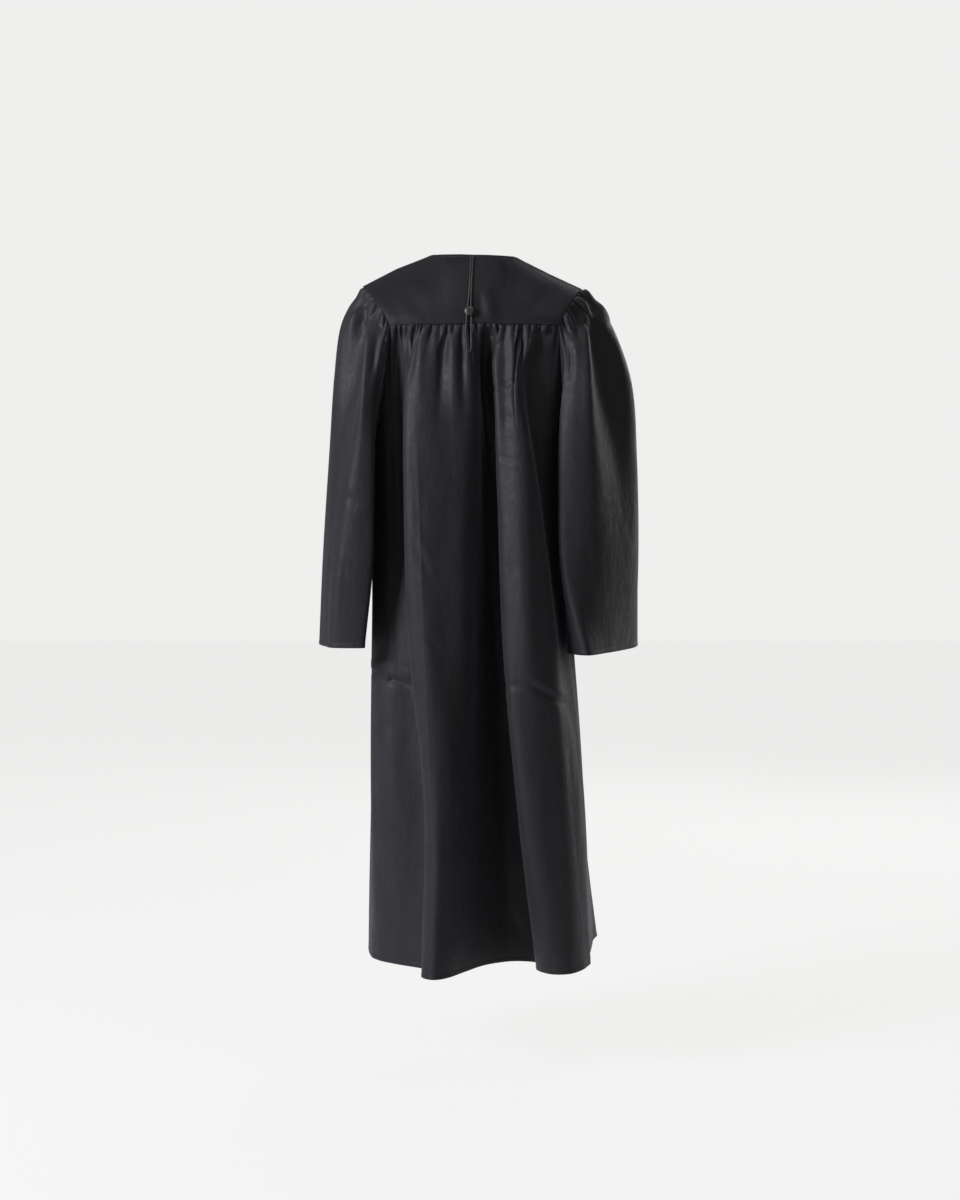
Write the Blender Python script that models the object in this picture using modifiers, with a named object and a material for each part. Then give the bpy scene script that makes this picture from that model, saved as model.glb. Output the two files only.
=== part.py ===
"""Graduation gown in its worn shape, hollow, in metres.

The back faces +Y, the front -Y, the wearer's left is +X and +Z is up. The origin is the middle of the neck opening
at the height of the nape. Every cloth piece is an open surface, worked out from the tables below, with a wall on it.
"""

import math

import bmesh
import bpy
from mathutils import Vector

# Driving sizes
WALL = 0.0018
SEAM_GAP = 0.0004
SHOULDER_GAP = 0.0015
HEM_Z = -1.318
UNDERARM_Z = -0.360
BACK_SEAM_Z = -0.138
FRONT_CORNER_Z = -0.176
FRONT_CENTRE_Z = -0.192
LEFT_CUFF_Z = -0.727
RIGHT_CUFF_Z = -0.736
BACK_GATHERS = 26
FRONT_GATHERS = 9
SLEEVE_GATHERS = 14
GATHER_DEPTH = 0.0031
GATHER_LENGTH = 0.060
SLEEVE_PUFF = 0.014
CORD_RADIUS = 0.0013
BUTTON_RADIUS = 0.009
BUTTON_X = 0.0107
BUTTON_Z = -0.1143
LOOP_BOTTOM_Z = -0.187
PLACKET_WIDTH = 0.034
BACK_ROWS = 11
FRONT_ROWS = 9
SLEEVE_ROWS = 10

# Heights at which the fold table gives the plan of the body
LEVELS = (-0.135, -0.273, -0.457, -0.7145, -1.009, HEM_Z)

# Each row is one line that runs down the cloth. Its pairs are X and Y at the levels: seam, chest, waist, hip, knee,
# hem. The rows go round the body: left side, back, right side, front.
FOLDS = (
    ("side_left", (0.182, 0.010), (0.187, 0.006), (0.1925, 0.000), (0.1945, 0.000), (0.1965, 0.000), (0.1955, 0.000)),
    ("left_of_back", (0.170, 0.080), (0.175, 0.068), (0.184, 0.045), (0.187, 0.040), (0.186, 0.040), (0.182, 0.032)),
    ("corner_left", (0.155, 0.100), (0.160, 0.092), (0.162, 0.078), (0.162, 0.072), (0.155, 0.074), (0.148, 0.068)),
    ("under_left_fold", (0.130, 0.107), (0.133, 0.096), (0.118, 0.084), (0.106, 0.086), (0.084, 0.100), (0.086, 0.119)),
    ("left_fold_edge", (0.106, 0.112), (0.130, 0.134), (0.132, 0.150), (0.119, 0.158), (0.093, 0.165), (0.097, 0.174)),
    ("left_fold_crest", (0.084, 0.115), (0.109, 0.153), (0.105, 0.171), (0.092, 0.181), (0.070, 0.190), (0.077, 0.202)),
    ("left_fold_face", (0.052, 0.118), (0.064, 0.151), (0.060, 0.166), (0.056, 0.171), (0.047, 0.175), (0.047, 0.181)),
    ("left_fold_turn", (0.014, 0.119), (0.006, 0.136), (0.009, 0.137), (0.018, 0.135), (0.027, 0.134), (0.018, 0.130)),
    ("valley_left", (-0.007, 0.119), (-0.014, 0.112), (-0.014, 0.096), (-0.018, 0.084), (-0.025, 0.075), (-0.024, 0.069)),
    ("valley_floor", (-0.022, 0.119), (-0.029, 0.098), (-0.034, 0.080), (-0.043, 0.067), (-0.058, 0.052), (-0.072, 0.042)),
    ("under_right_fold", (-0.038, 0.119), (-0.045, 0.096), (-0.053, 0.082), (-0.066, 0.072), (-0.089, 0.062), (-0.118, 0.056)),
    ("right_fold_edge", (-0.054, 0.118), (-0.036, 0.128), (-0.040, 0.146), (-0.051, 0.158), (-0.076, 0.155), (-0.113, 0.112)),
    ("right_fold_crest", (-0.070, 0.117), (-0.052, 0.148), (-0.060, 0.166), (-0.075, 0.179), (-0.103, 0.180), (-0.134, 0.152)),
    ("right_fold_turn", (-0.093, 0.115), (-0.082, 0.143), (-0.112, 0.152), (-0.140, 0.154), (-0.158, 0.157), (-0.172, 0.153)),
    ("right_recess", (-0.121, 0.110), (-0.094, 0.110), (-0.120, 0.108), (-0.152, 0.104), (-0.182, 0.118), (-0.197, 0.116)),
    ("corner_right", (-0.1535, 0.100), (-0.142, 0.092), (-0.146, 0.075), (-0.166, 0.062), (-0.198, 0.072), (-0.211, 0.074)),
    ("right_of_back", (-0.164, 0.080), (-0.163, 0.066), (-0.154, 0.042), (-0.175, 0.030), (-0.203, 0.036), (-0.215, 0.040)),
    ("side_right", (-0.172, 0.012), (-0.170, 0.008), (-0.157, 0.000), (-0.180, -0.010), (-0.204, -0.010), (-0.216, -0.005)),
    ("right_side_front", (-0.170, -0.050), (-0.168, -0.055), (-0.157, -0.060), (-0.178, -0.085), (-0.207, -0.120), (-0.228, -0.140)),
    ("front_corner_right", (-0.152, -0.080), (-0.150, -0.110), (-0.140, -0.145), (-0.158, -0.180), (-0.190, -0.200), (-0.236, -0.205)),
    ("front_valley_right", (-0.112, -0.100), (-0.112, -0.122), (-0.110, -0.126), (-0.118, -0.135), (-0.135, -0.140), (-0.160, -0.145)),
    ("front_fold_right", (-0.072, -0.110), (-0.075, -0.140), (-0.075, -0.162), (-0.080, -0.185), (-0.090, -0.205), (-0.100, -0.225)),
    ("front_dip_right", (-0.036, -0.114), (-0.038, -0.139), (-0.038, -0.147), (-0.040, -0.154), (-0.042, -0.163), (-0.045, -0.170)),
    ("front_centre", (0.000, -0.116), (0.000, -0.144), (0.000, -0.156), (0.000, -0.168), (0.000, -0.183), (0.000, -0.193)),
    ("front_dip_left", (0.036, -0.114), (0.038, -0.140), (0.037, -0.148), (0.036, -0.156), (0.035, -0.165), (0.034, -0.172)),
    ("front_fold_left", (0.070, -0.110), (0.072, -0.142), (0.070, -0.165), (0.070, -0.190), (0.072, -0.205), (0.075, -0.220)),
    ("front_valley_left", (0.110, -0.100), (0.110, -0.122), (0.112, -0.126), (0.112, -0.131), (0.115, -0.136), (0.118, -0.140)),
    ("front_corner_left", (0.152, -0.080), (0.150, -0.110), (0.152, -0.145), (0.155, -0.175), (0.162, -0.195), (0.168, -0.210)),
    ("left_side_front", (0.178, -0.050), (0.180, -0.055), (0.187, -0.062), (0.190, -0.085), (0.197, -0.110), (0.205, -0.120)),
)
NAMES = [row[0] for row in FOLDS]
COUNT = len(FOLDS)
CORNER_LEFT = NAMES.index("corner_left")
CORNER_RIGHT = NAMES.index("corner_right")
SIDE_RIGHT = NAMES.index("side_right")
FRONT_RIGHT = NAMES.index("front_corner_right")
CENTRE = NAMES.index("front_centre")
FRONT_LEFT = NAMES.index("front_corner_left")

# The upper edge of the back yoke, from the left shoulder point over the neck edge to the right one: X, Y, Z
BACK_YOKE_TOP = (
    ("shoulder_point_left", 0.2095, -0.004, -0.058),
    ("shoulder_left", 0.1470, -0.003, -0.026),
    ("neck_point_left", 0.0810, 0.004, -0.001),
    ("nape_left", 0.0480, 0.046, 0.002),
    ("nape", 0.0040, 0.058, 0.002),
    ("nape_right", -0.0420, 0.047, -0.001),
    ("neck_point_right", -0.0740, 0.004, -0.004),
    ("shoulder_right", -0.1400, -0.003, -0.036),
    ("shoulder_point_right", -0.1990, -0.004, -0.063),
)

# Lines that run down each sleeve, from the shoulder point round the back, inside and front. Their pairs are X and Y
# at five stations: head, upper arm, elbow, forearm, cuff. X is the distance from the middle of the gown.
STATIONS = (0.10, 0.25, 0.45, 0.72, 1.0)
SLEEVE_LEFT = (
    ("outer", (0.249, -0.015), (0.265, -0.025), (0.2755, -0.030), (0.2865, -0.030), (0.2940, -0.030)),
    ("outer_back", (0.243, 0.025), (0.257, 0.018), (0.268, 0.018), (0.281, 0.016), (0.287, 0.022)),
    ("trough", (0.215, 0.050), (0.225, 0.050), (0.246, 0.060), (0.266, 0.062), (0.275, 0.056)),
    ("ridge", (0.194, 0.105), (0.208, 0.119), (0.222, 0.114), (0.243, 0.105), (0.260, 0.088)),
    ("back_corner", (0.170, 0.110), (0.186, 0.112), (0.190, 0.110), (0.193, 0.105), (0.208, 0.096)),
    ("inner_back", (0.192, 0.064), (0.1975, 0.066), (0.199, 0.064), (0.201, 0.060), (0.210, 0.052)),
    ("inner", (0.1985, 0.000), (0.202, 0.000), (0.203, 0.000), (0.205, 0.000), (0.214, 0.000)),
    ("inner_front", (0.196, -0.056), (0.201, -0.062), (0.203, -0.064), (0.206, -0.064), (0.215, -0.064)),
    ("front_corner", (0.176, -0.104), (0.193, -0.118), (0.205, -0.130), (0.214, -0.140), (0.222, -0.146)),
    ("front_ridge", (0.198, -0.104), (0.216, -0.126), (0.232, -0.146), (0.243, -0.162), (0.251, -0.172)),
    ("front_trough", (0.225, -0.076), (0.243, -0.098), (0.257, -0.114), (0.269, -0.126), (0.277, -0.132)),
    ("outer_front", (0.243, -0.048), (0.260, -0.064), (0.272, -0.075), (0.283, -0.081), (0.290, -0.086)),
)
SLEEVE_RIGHT = (
    ("outer", (0.257, -0.018), (0.2915, -0.030), (0.3030, -0.042), (0.3095, -0.060), (0.3110, -0.100)),
    ("outer_back", (0.250, 0.022), (0.284, 0.012), (0.297, 0.002), (0.304, -0.008), (0.302, -0.050)),
    ("trough", (0.221, 0.043), (0.239, 0.042), (0.260, 0.048), (0.276, 0.048), (0.277, 0.010)),
    ("ridge", (0.200, 0.106), (0.211, 0.124), (0.216, 0.125), (0.222, 0.124), (0.244, 0.088)),
    ("back_corner", (0.163, 0.108), (0.160, 0.118), (0.162, 0.126), (0.174, 0.146), (0.211, 0.162)),
    ("inner_back", (0.169, 0.060), (0.165, 0.070), (0.167, 0.076), (0.178, 0.090), (0.193, 0.122)),
    ("inner", (0.177, 0.000), (0.174, 0.000), (0.176, 0.000), (0.184, 0.010), (0.190, 0.040)),
    ("inner_front", (0.178, -0.056), (0.177, -0.062), (0.180, -0.066), (0.188, -0.064), (0.192, -0.050)),
    ("front_corner", (0.170, -0.104), (0.182, -0.118), (0.192, -0.132), (0.203, -0.144), (0.210, -0.152)),
    ("front_ridge", (0.198, -0.104), (0.218, -0.128), (0.238, -0.152), (0.254, -0.176), (0.264, -0.200)),
    ("front_trough", (0.230, -0.076), (0.260, -0.100), (0.280, -0.122), (0.294, -0.146), (0.301, -0.186)),
    ("outer_front", (0.249, -0.048), (0.284, -0.068), (0.297, -0.086), (0.307, -0.104), (0.312, -0.150)),
)

# Distances below a gathered seam at which the dense columns have points
GATHER_ROWS = (0.0, 0.007, 0.021, 0.043)


def blend(a, b, t):
    """A value or point part of the way from a to b."""
    return a + (b - a) * t


def hermite(p0, p1, m0, m1, t):
    """A cubic from p0 to p1 with the slopes m0 and m1."""
    t2, t3 = t * t, t * t * t
    return p0 * (2 * t3 - 3 * t2 + 1) + m0 * (t3 - 2 * t2 + t) + p1 * (3 * t2 - 2 * t3) + m1 * (t3 - t2)


def slope(before, here, after):
    """A slope through three points that are evenly numbered, held back so that the curve can't loop."""
    m = (after - before) * 0.5
    limit = 1.4 * min((here - before).length, (after - here).length)
    if m.length > limit > 0.0:
        m = m * (limit / m.length)
    return m


def along(values, places, at):
    """A smooth value at a place along a row, from points at uneven places."""
    at = min(max(at, places[0] - 0.05), places[-1])
    i = 0
    while i < len(places) - 2 and at > places[i + 1]:
        i += 1

    def tangent(k):
        a, b = max(k - 1, 0), min(k + 1, len(places) - 1)
        return (values[b] - values[a]) / (places[b] - places[a])

    step = places[i + 1] - places[i]
    return hermite(values[i], values[i + 1], tangent(i) * step, tangent(i + 1) * step, (at - places[i]) / step)


def fold_point(index, z):
    """Where one line of the fold table lies at the height z."""
    row = FOLDS[index % COUNT]
    return along([Vector((x, y, 0.0)) for x, y in row[1:]], [-level for level in LEVELS], -z)


def plan_point(u, z):
    """The point of the body's cloth on line number u, which may lie between two lines, at the height z."""
    i = int(math.floor(u))
    p = [fold_point(i + k, z) for k in (-1, 0, 1, 2)]
    point = hermite(p[1], p[2], slope(p[0], p[1], p[2]), slope(p[1], p[2], p[3]), u - i)
    return Vector((point.x, point.y, z))


def plan_normal(u, z):
    """The direction out of the cloth, level, at line number u."""
    t = plan_point(u + 0.04, z) - plan_point(u - 0.04, z)
    return Vector((t.y, -t.x, 0.0)).normalized()


def top_height(u):
    """The height of the body's upper edge: the yoke seams, and between them the armholes."""
    u = u % COUNT
    if CORNER_LEFT <= u <= CORNER_RIGHT:
        share = (u - CORNER_LEFT) / (CORNER_RIGHT - CORNER_LEFT)
        return BACK_SEAM_Z + 0.002 * math.sin(math.pi * share) - SEAM_GAP
    if FRONT_RIGHT <= u <= FRONT_LEFT:
        share = abs(u - CENTRE) / (FRONT_LEFT - CENTRE)
        return blend(FRONT_CENTRE_Z, FRONT_CORNER_Z, share) - SEAM_GAP
    if u < CORNER_LEFT:
        corner, from_side = BACK_SEAM_Z, u / CORNER_LEFT
    elif u < SIDE_RIGHT:
        corner, from_side = BACK_SEAM_Z, (SIDE_RIGHT - u) / (SIDE_RIGHT - CORNER_RIGHT)
    elif u < FRONT_RIGHT:
        corner, from_side = FRONT_CORNER_Z, (u - SIDE_RIGHT) / (FRONT_RIGHT - SIDE_RIGHT)
    else:
        corner, from_side = FRONT_CORNER_Z, (COUNT - u) / (COUNT - FRONT_LEFT)
    return corner - SEAM_GAP + (UNDERARM_Z - corner) * math.cos(0.5 * math.pi * from_side)


def line_at_seam(x, first, last, z):
    """The line number, between two lines, whose cloth meets the seam at a given X."""
    lines = list(range(first, last + 1))
    places = [fold_point(k, z).x for k in lines]
    for k in range(len(lines) - 1):
        a, b = places[k], places[k + 1]
        if min(a, b) - 1e-9 <= x <= max(a, b) + 1e-9:
            return lines[k] + (x - a) / (b - a)
    return last if abs(x - places[-1]) < abs(x - places[0]) else first


def gather(number, distance, seed):
    """How deep a gather is at a distance from its seam. Each one has its own depth and length."""
    which = math.floor(number)
    depth = GATHER_DEPTH * (0.74 + 0.26 * math.sin(which * 2.4 + seed))
    length = GATHER_LENGTH * (0.80 + 0.20 * math.cos(which * 1.7 + seed))
    rise = 0.30 + 0.70 * min(distance / GATHER_ROWS[1], 1.0)
    fall = max(0.0, 1.0 - max(distance - GATHER_ROWS[1], 0.0) / length)
    return depth * rise * fall * math.sin(2.0 * math.pi * number)


def uneven(share, turns, amount):
    """Spacing that varies a little from one gather to the next, with its ends kept."""
    return share + amount * math.sin(2.0 * math.pi * turns * share)


def material(name, colour, roughness):
    """A plain surface for one piece."""
    m = bpy.data.materials.new(name)
    m.use_nodes = True
    shader = m.node_tree.nodes["Principled BSDF"]
    shader.inputs["Base Color"].default_value = (*colour, 1.0)
    shader.inputs["Roughness"].default_value = roughness
    shader.inputs["Metallic"].default_value = 0.0
    return m


def place(name, data, collection, parent, colour, roughness):
    """Adds one named piece, with its own material, to the gown."""
    obj = bpy.data.objects.new(name, data)
    collection.objects.link(obj)
    obj.parent = parent
    data.materials.append(material(name + "_cloth", colour, roughness))
    return obj


def cloth(name, point, columns, fine, coarse, closed=False):
    """An open surface with dense columns under the seam and every second column below it, with a wall.

    point(column, band, place) gives a point. Columns are counted in the dense part. band is 0 in the dense rows, where
    place is a distance from the seam, and 1 below, where place is a share of the way to the hem.
    """
    bm = bmesh.new()
    total = columns if closed else columns + 1
    rows = [[bm.verts.new(point(c, 0, d)) for c in range(total)] for d in fine]
    half = columns // 2 if closed else columns // 2 + 1
    low = [[bm.verts.new(point(2 * c, 1, s)) for c in range(half)] for s in coarse]
    for upper, lower in zip(rows[:-1], rows[1:]):
        for c in range(columns):
            d = (c + 1) % total
            bm.faces.new((upper[c], lower[c], lower[d], upper[d]))
    if low and fine:
        for c in range(columns // 2):
            a, b, d = rows[-1][2 * c], rows[-1][2 * c + 1], rows[-1][(2 * c + 2) % total]
            e, f = low[0][c], low[0][(c + 1) % half]
            bm.faces.new((a, e, b))
            bm.faces.new((b, e, f))
            bm.faces.new((b, f, d))
    for upper, lower in zip(low[:-1], low[1:]):
        for c in range(columns // 2):
            d = (c + 1) % half
            bm.faces.new((upper[c], lower[c], lower[d], upper[d]))
    mesh = bpy.data.meshes.new(name)
    bm.to_mesh(mesh)
    bm.free()
    mesh.shade_smooth()
    obj = place(name, mesh, PIECES, GOWN, (0.012, 0.012, 0.014), 0.5)
    wall = obj.modifiers.new("wall", "SOLIDIFY")
    wall.thickness = WALL
    wall.offset = 0.0
    return obj


def shares(count):
    """Even shares of a length, both ends included."""
    return [k / count for k in range(count + 1)]


def body_panel(name, first, last, gather_first, gather_last, gathers, side_columns, seed, rows, ends):
    """A body panel between two lines of the table, gathered between two others.

    ends moves the first and last column along the cloth, so that the panel stays clear of its neighbours.
    """
    seam_z = top_height(0.5 * (gather_first + gather_last))
    x0 = fold_point(gather_first, seam_z).x
    x1 = fold_point(gather_last, seam_z).x
    before = side_columns if first < gather_first else 0
    after = side_columns if last > gather_last else 0
    columns = before + 4 * gathers + after

    def line(c):
        if c < before:
            return blend(first, gather_first, c / before)
        if c > before + 4 * gathers:
            return blend(gather_last, last, (c - before - 4 * gathers) / after)
        share = uneven((c - before) / (4 * gathers), 5, 0.006)
        return line_at_seam(blend(x0, x1, share), gather_first, gather_last, seam_z)

    def point(c, band, at):
        u = line(c)
        top = top_height(u)
        z = top - at if band == 0 else blend(top - GATHER_ROWS[-1], HEM_Z, at)
        p = plan_point(u, z)
        if band == 0 and before < c < before + 4 * gathers:
            p += plan_normal(u, z) * gather((c - before) / 4.0, at, seed)
        if c == 0 or c == columns:
            inward = 0.02 if c == 0 else -0.02
            t = plan_point(u + inward, z) - plan_point(u, z)
            p += t.normalized() * ends
        return p

    return cloth(name, point, columns, GATHER_ROWS, shares(rows)[1:])


def yoke_top(share):
    """A point on the upper edge of the back yoke, at a share of the way from left to right."""
    names = [row[0] for row in BACK_YOKE_TOP]
    stops = [0.0, 0.16, 0.315, 0.40, 0.50, 0.60, 0.69, 0.84, 1.0]
    i = 0
    while i < len(stops) - 2 and share > stops[i + 1]:
        i += 1
    a, b = Vector(BACK_YOKE_TOP[i][1:]), Vector(BACK_YOKE_TOP[i + 1][1:])
    t = (share - stops[i]) / (stops[i + 1] - stops[i])
    p = blend(a, b, t)
    if names[i].startswith("n") and names[i + 1].startswith("n"):
        p.y += 0.006 * math.sin(math.pi * t)
    return p


def bend(top, foot, share, out, down):
    """A point on a curve from top to foot that goes outward first and then down, as cloth does over a shoulder."""
    turn = Vector((0.5 * (top.x + foot.x), blend(top.y, foot.y, out), blend(top.z, foot.z, down)))
    return top * (1 - share) ** 2 + turn * (2 * share * (1 - share)) + foot * share ** 2


def back_yoke_point(across, down):
    """A point on the back yoke: across from left to right, down from the neck to the gathered seam."""
    x0, x1 = fold_point(CORNER_LEFT, BACK_SEAM_Z).x, fold_point(CORNER_RIGHT, BACK_SEAM_Z).x
    u = line_at_seam(blend(x0, x1, across), CORNER_LEFT, CORNER_RIGHT, BACK_SEAM_Z)
    foot = plan_point(u, top_height(u) + 2.0 * SEAM_GAP)
    return bend(yoke_top(across), foot, down, 0.80, 0.30)


def front_yoke_point(side, across, down):
    """A point on a front yoke: across from the armhole to the neck edge, down from the shoulder seam."""
    if side > 0:
        top = yoke_top(blend(0.0, 0.315, across))
        u = blend(FRONT_LEFT, CENTRE + 0.03, across)
    else:
        top = yoke_top(blend(1.0, 0.69, across))
        u = blend(FRONT_RIGHT, CENTRE - 0.03, across)
    foot = plan_point(u, top_height(u) + 2.0 * SEAM_GAP)
    return bend(top + Vector((0.0, -SHOULDER_GAP, -0.0002)), foot, down, 0.72, 0.34)


def surface_normal(surface, a, b):
    """The direction out of a surface given by two shares."""
    da = surface(min(a + 0.01, 1.0), b) - surface(max(a - 0.01, 0.0), b)
    db = surface(a, min(b + 0.01, 1.0)) - surface(a, max(b - 0.01, 0.0))
    n = da.cross(db).normalized()
    outward = surface(a, b) - Vector((0.0, 0.0, -0.20))
    return n if n.dot(outward) > 0 else -n


def armhole(side, turn):
    """A point of the armhole, the way out of the cloth there, and the way past its edge.

    turn goes 0 to 1 from the shoulder point down the back yoke, the back, the front and up the front yoke.
    """
    quarter, t = int(min(turn * 4, 3)), (turn * 4) % 1.0 if turn < 1.0 else 1.0
    edge = 0.0 if side > 0 else 1.0
    if quarter in (0, 3):
        def front(a, b):
            return front_yoke_point(side, a, b)
        yoke, a, b = (back_yoke_point, edge, t) if quarter == 0 else (front, 0.0, 1.0 - t)
        spot, out = yoke(a, b), surface_normal(yoke, a, b)
        run = yoke(a, min(b + 0.02, 1.0)) - yoke(a, max(b - 0.02, 0.0))
        past = run.cross(out).normalized()
        return spot, out, past if past.x * side > 0 else -past

    def rim(share):
        if quarter == 1:
            u = blend(CORNER_LEFT, 0.0, share) if side > 0 else blend(CORNER_RIGHT, SIDE_RIGHT, share)
        else:
            u = blend(COUNT, FRONT_LEFT, share) if side > 0 else blend(SIDE_RIGHT, FRONT_RIGHT, share)
        u = min(max(u, 0.0), COUNT - 1e-6)
        return plan_point(u, top_height(u)), u

    spot, u = rim(t)
    out = plan_normal(u, spot.z)
    run = rim(min(t + 0.04, 1.0))[0] - rim(max(t - 0.04, 0.0))[0]
    past = run.cross(out).normalized()
    return spot, out, past if past.z > 0 else -past


def sewn_start(edge, out, past, way, gap):
    """Where a sleeve begins, so that its wall stays clear of the wall it is sewn to, however far it is turned."""
    half = 0.5 * WALL
    rise, run = abs(way.dot(out)), way.dot(past)
    size = math.hypot(rise, run)
    s, c = rise / size, run / size
    if c <= 0.0:
        return edge + out * (half * (1.0 - c) + gap)
    ways = [(gap + half * s) / c]
    if s > 0.05:
        ways.append((half * (1.0 - c) + gap) / s)
    return edge + way * min(ways)


def sleeve(name, side, table, cuff_z, seed):
    """A wide sleeve from its gathered head to its open cuff."""
    lines = len(table)
    quarter = 2 * SLEEVE_GATHERS
    under = 20
    columns = 2 * quarter + under

    def line(c):
        if c <= quarter:
            return 4.0 * c / quarter
        if c <= quarter + under:
            return 4.0 + 4.0 * (c - quarter) / under
        return 8.0 + 4.0 * (c - quarter - under) / quarter

    def turn(w):
        if w <= 4.0:
            return 0.0625 * w
        if w <= 8.0:
            return 0.25 + 0.125 * (w - 4.0)
        return 0.75 + 0.0625 * (w - 8.0)

    def across(w, k):
        """The plan point at station number k, on line number w."""
        i = int(math.floor(w))
        p = [Vector((side * x, y, 0.0)) for x, y in (table[(i + j) % lines][k + 1] for j in (-1, 0, 1, 2))]
        return hermite(p[1], p[2], slope(p[0], p[1], p[2]), slope(p[1], p[2], p[3]), w - i)

    def start(w):
        """Where the sleeve begins: clear of the armhole by the gap that its lean needs."""
        edge, out, past = armhole(side, turn(w % lines))
        head = across(w, 0)
        head.z = blend(edge.z, cuff_z, STATIONS[0])
        way = (head - edge).normalized()
        corner = min(abs(turn(w % lines) - 0.25), abs(turn(w % lines) - 0.75))
        gap = SEAM_GAP + 0.0003 + 0.0016 * max(0.0, 1.0 - corner / 0.045)
        return sewn_start(edge, out, past, way, gap), way, out

    def smooth(w, s):
        edge, way, out = start(w)
        values = [Vector((edge.x, edge.y, 0.0))] + [across(w, k) for k in range(len(STATIONS))]
        p = along(values, [0.0] + list(STATIONS), s)
        p.z = blend(edge.z, cuff_z, s)
        top = max(0.0, 1.0 - abs(turn(w % lines) - round(turn(w % lines))) / 0.25)
        swell = SLEEVE_PUFF * math.sin(math.pi * min(s / 0.16, 1.0)) * min(1.0, 1.6 * top)
        return p + (out * 0.6 + Vector((side * 0.6, 0.0, 0.25))) * swell

    def point(c, band, at):
        c = c % columns
        w = line(c)
        length = armhole(side, turn(w % lines))[0].z - cuff_z
        fine = GATHER_ROWS[-1] / length
        s = at / length if band == 0 else blend(fine, 1.0, at)
        p = smooth(w, s)
        number = c / 4.0 if c <= quarter else (c - columns) / 4.0
        if band == 0 and (c < quarter or c > quarter + under):
            a, b = smooth(w + 0.05, s), smooth(w - 0.05, s)
            d, e = smooth(w, s + 0.01), smooth(w, max(s - 0.01, 0.0))
            n = (a - b).cross(d - e).normalized()
            p += n * gather(number, at, seed)
        return p

    return cloth(name, point, columns, GATHER_ROWS, shares(SLEEVE_ROWS)[1:], closed=True)


def placket():
    """The plain strip over the front closing, made from the fronts' points, moved out."""
    reach = 0.5 * PLACKET_WIDTH
    top = top_height(CENTRE)
    heights = [top - 0.004] + [top - d for d in GATHER_ROWS[2:]]
    heights += [blend(top - GATHER_ROWS[-1], HEM_Z, k / FRONT_ROWS) for k in range(1, FRONT_ROWS)]

    def point(c, z):
        u = CENTRE + blend(-reach, reach, c / 4.0) / 0.040
        lift = WALL + 0.0005 + GATHER_DEPTH * max(0.0, 1.0 - (top - z) / 0.075)
        return plan_point(u, z) + plan_normal(u, z) * lift

    bm = bmesh.new()
    rows = [[bm.verts.new(point(c, z)) for c in range(5)] for z in heights]
    for upper, lower in zip(rows[:-1], rows[1:]):
        for c in range(4):
            bm.faces.new((upper[c], lower[c], lower[c + 1], upper[c + 1]))
    mesh = bpy.data.meshes.new("front_placket")
    bm.to_mesh(mesh)
    bm.free()
    obj = place("front_placket", mesh, PIECES, GOWN, (0.012, 0.012, 0.014), 0.5)
    wall = obj.modifiers.new("wall", "SOLIDIFY")
    wall.thickness = WALL
    wall.offset = 0.0
    return obj


def yoke_at(x, z):
    """The point of the back yoke at a given X and height, and the way out of it."""
    down = (0.0, 1.0)
    for _ in range(14):
        b = 0.5 * (down[0] + down[1])
        side = (0.3, 0.7)
        for _ in range(14):
            a = 0.5 * (side[0] + side[1])
            side = (a, side[1]) if back_yoke_point(a, b).x > x else (side[0], a)
        down = (b, down[1]) if back_yoke_point(a, b).z > z else (down[0], b)
    return back_yoke_point(a, b), surface_normal(back_yoke_point, a, b)


def button():
    """The covered button on its short shank: a turned profile, stood on the yoke."""
    seat, out = yoke_at(BUTTON_X, BUTTON_Z)
    foot = 0.5 * WALL + 0.0004
    under = foot + 2.0 * CORD_RADIUS + 0.0014
    crown = under + 0.0042
    profile = (
        (0.0, crown), (0.45 * BUTTON_RADIUS, crown - 0.0003), (0.78 * BUTTON_RADIUS, crown - 0.0012),
        (BUTTON_RADIUS, crown - 0.0026), (0.96 * BUTTON_RADIUS, under + 0.0006), (0.80 * BUTTON_RADIUS, under),
        (0.0019, under), (0.0019, foot), (0.0, foot),
    )
    bm = bmesh.new()
    points = [bm.verts.new((r, 0.0, z)) for r, z in profile]
    for a, b in zip(points[:-1], points[1:]):
        bm.edges.new((a, b))
    mesh = bpy.data.meshes.new("hood_button")
    bm.to_mesh(mesh)
    bm.free()
    obj = place("hood_button", mesh, PIECES, GOWN, (0.012, 0.012, 0.014), 0.5)
    obj.location = seat
    obj.rotation_euler = out.to_track_quat("Z", "Y").to_euler()
    turned = obj.modifiers.new("turned", "SCREW")
    turned.steps = turned.render_steps = 20
    turned.use_merge_vertices = True
    turned.merge_threshold = 0.00001
    return obj


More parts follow.
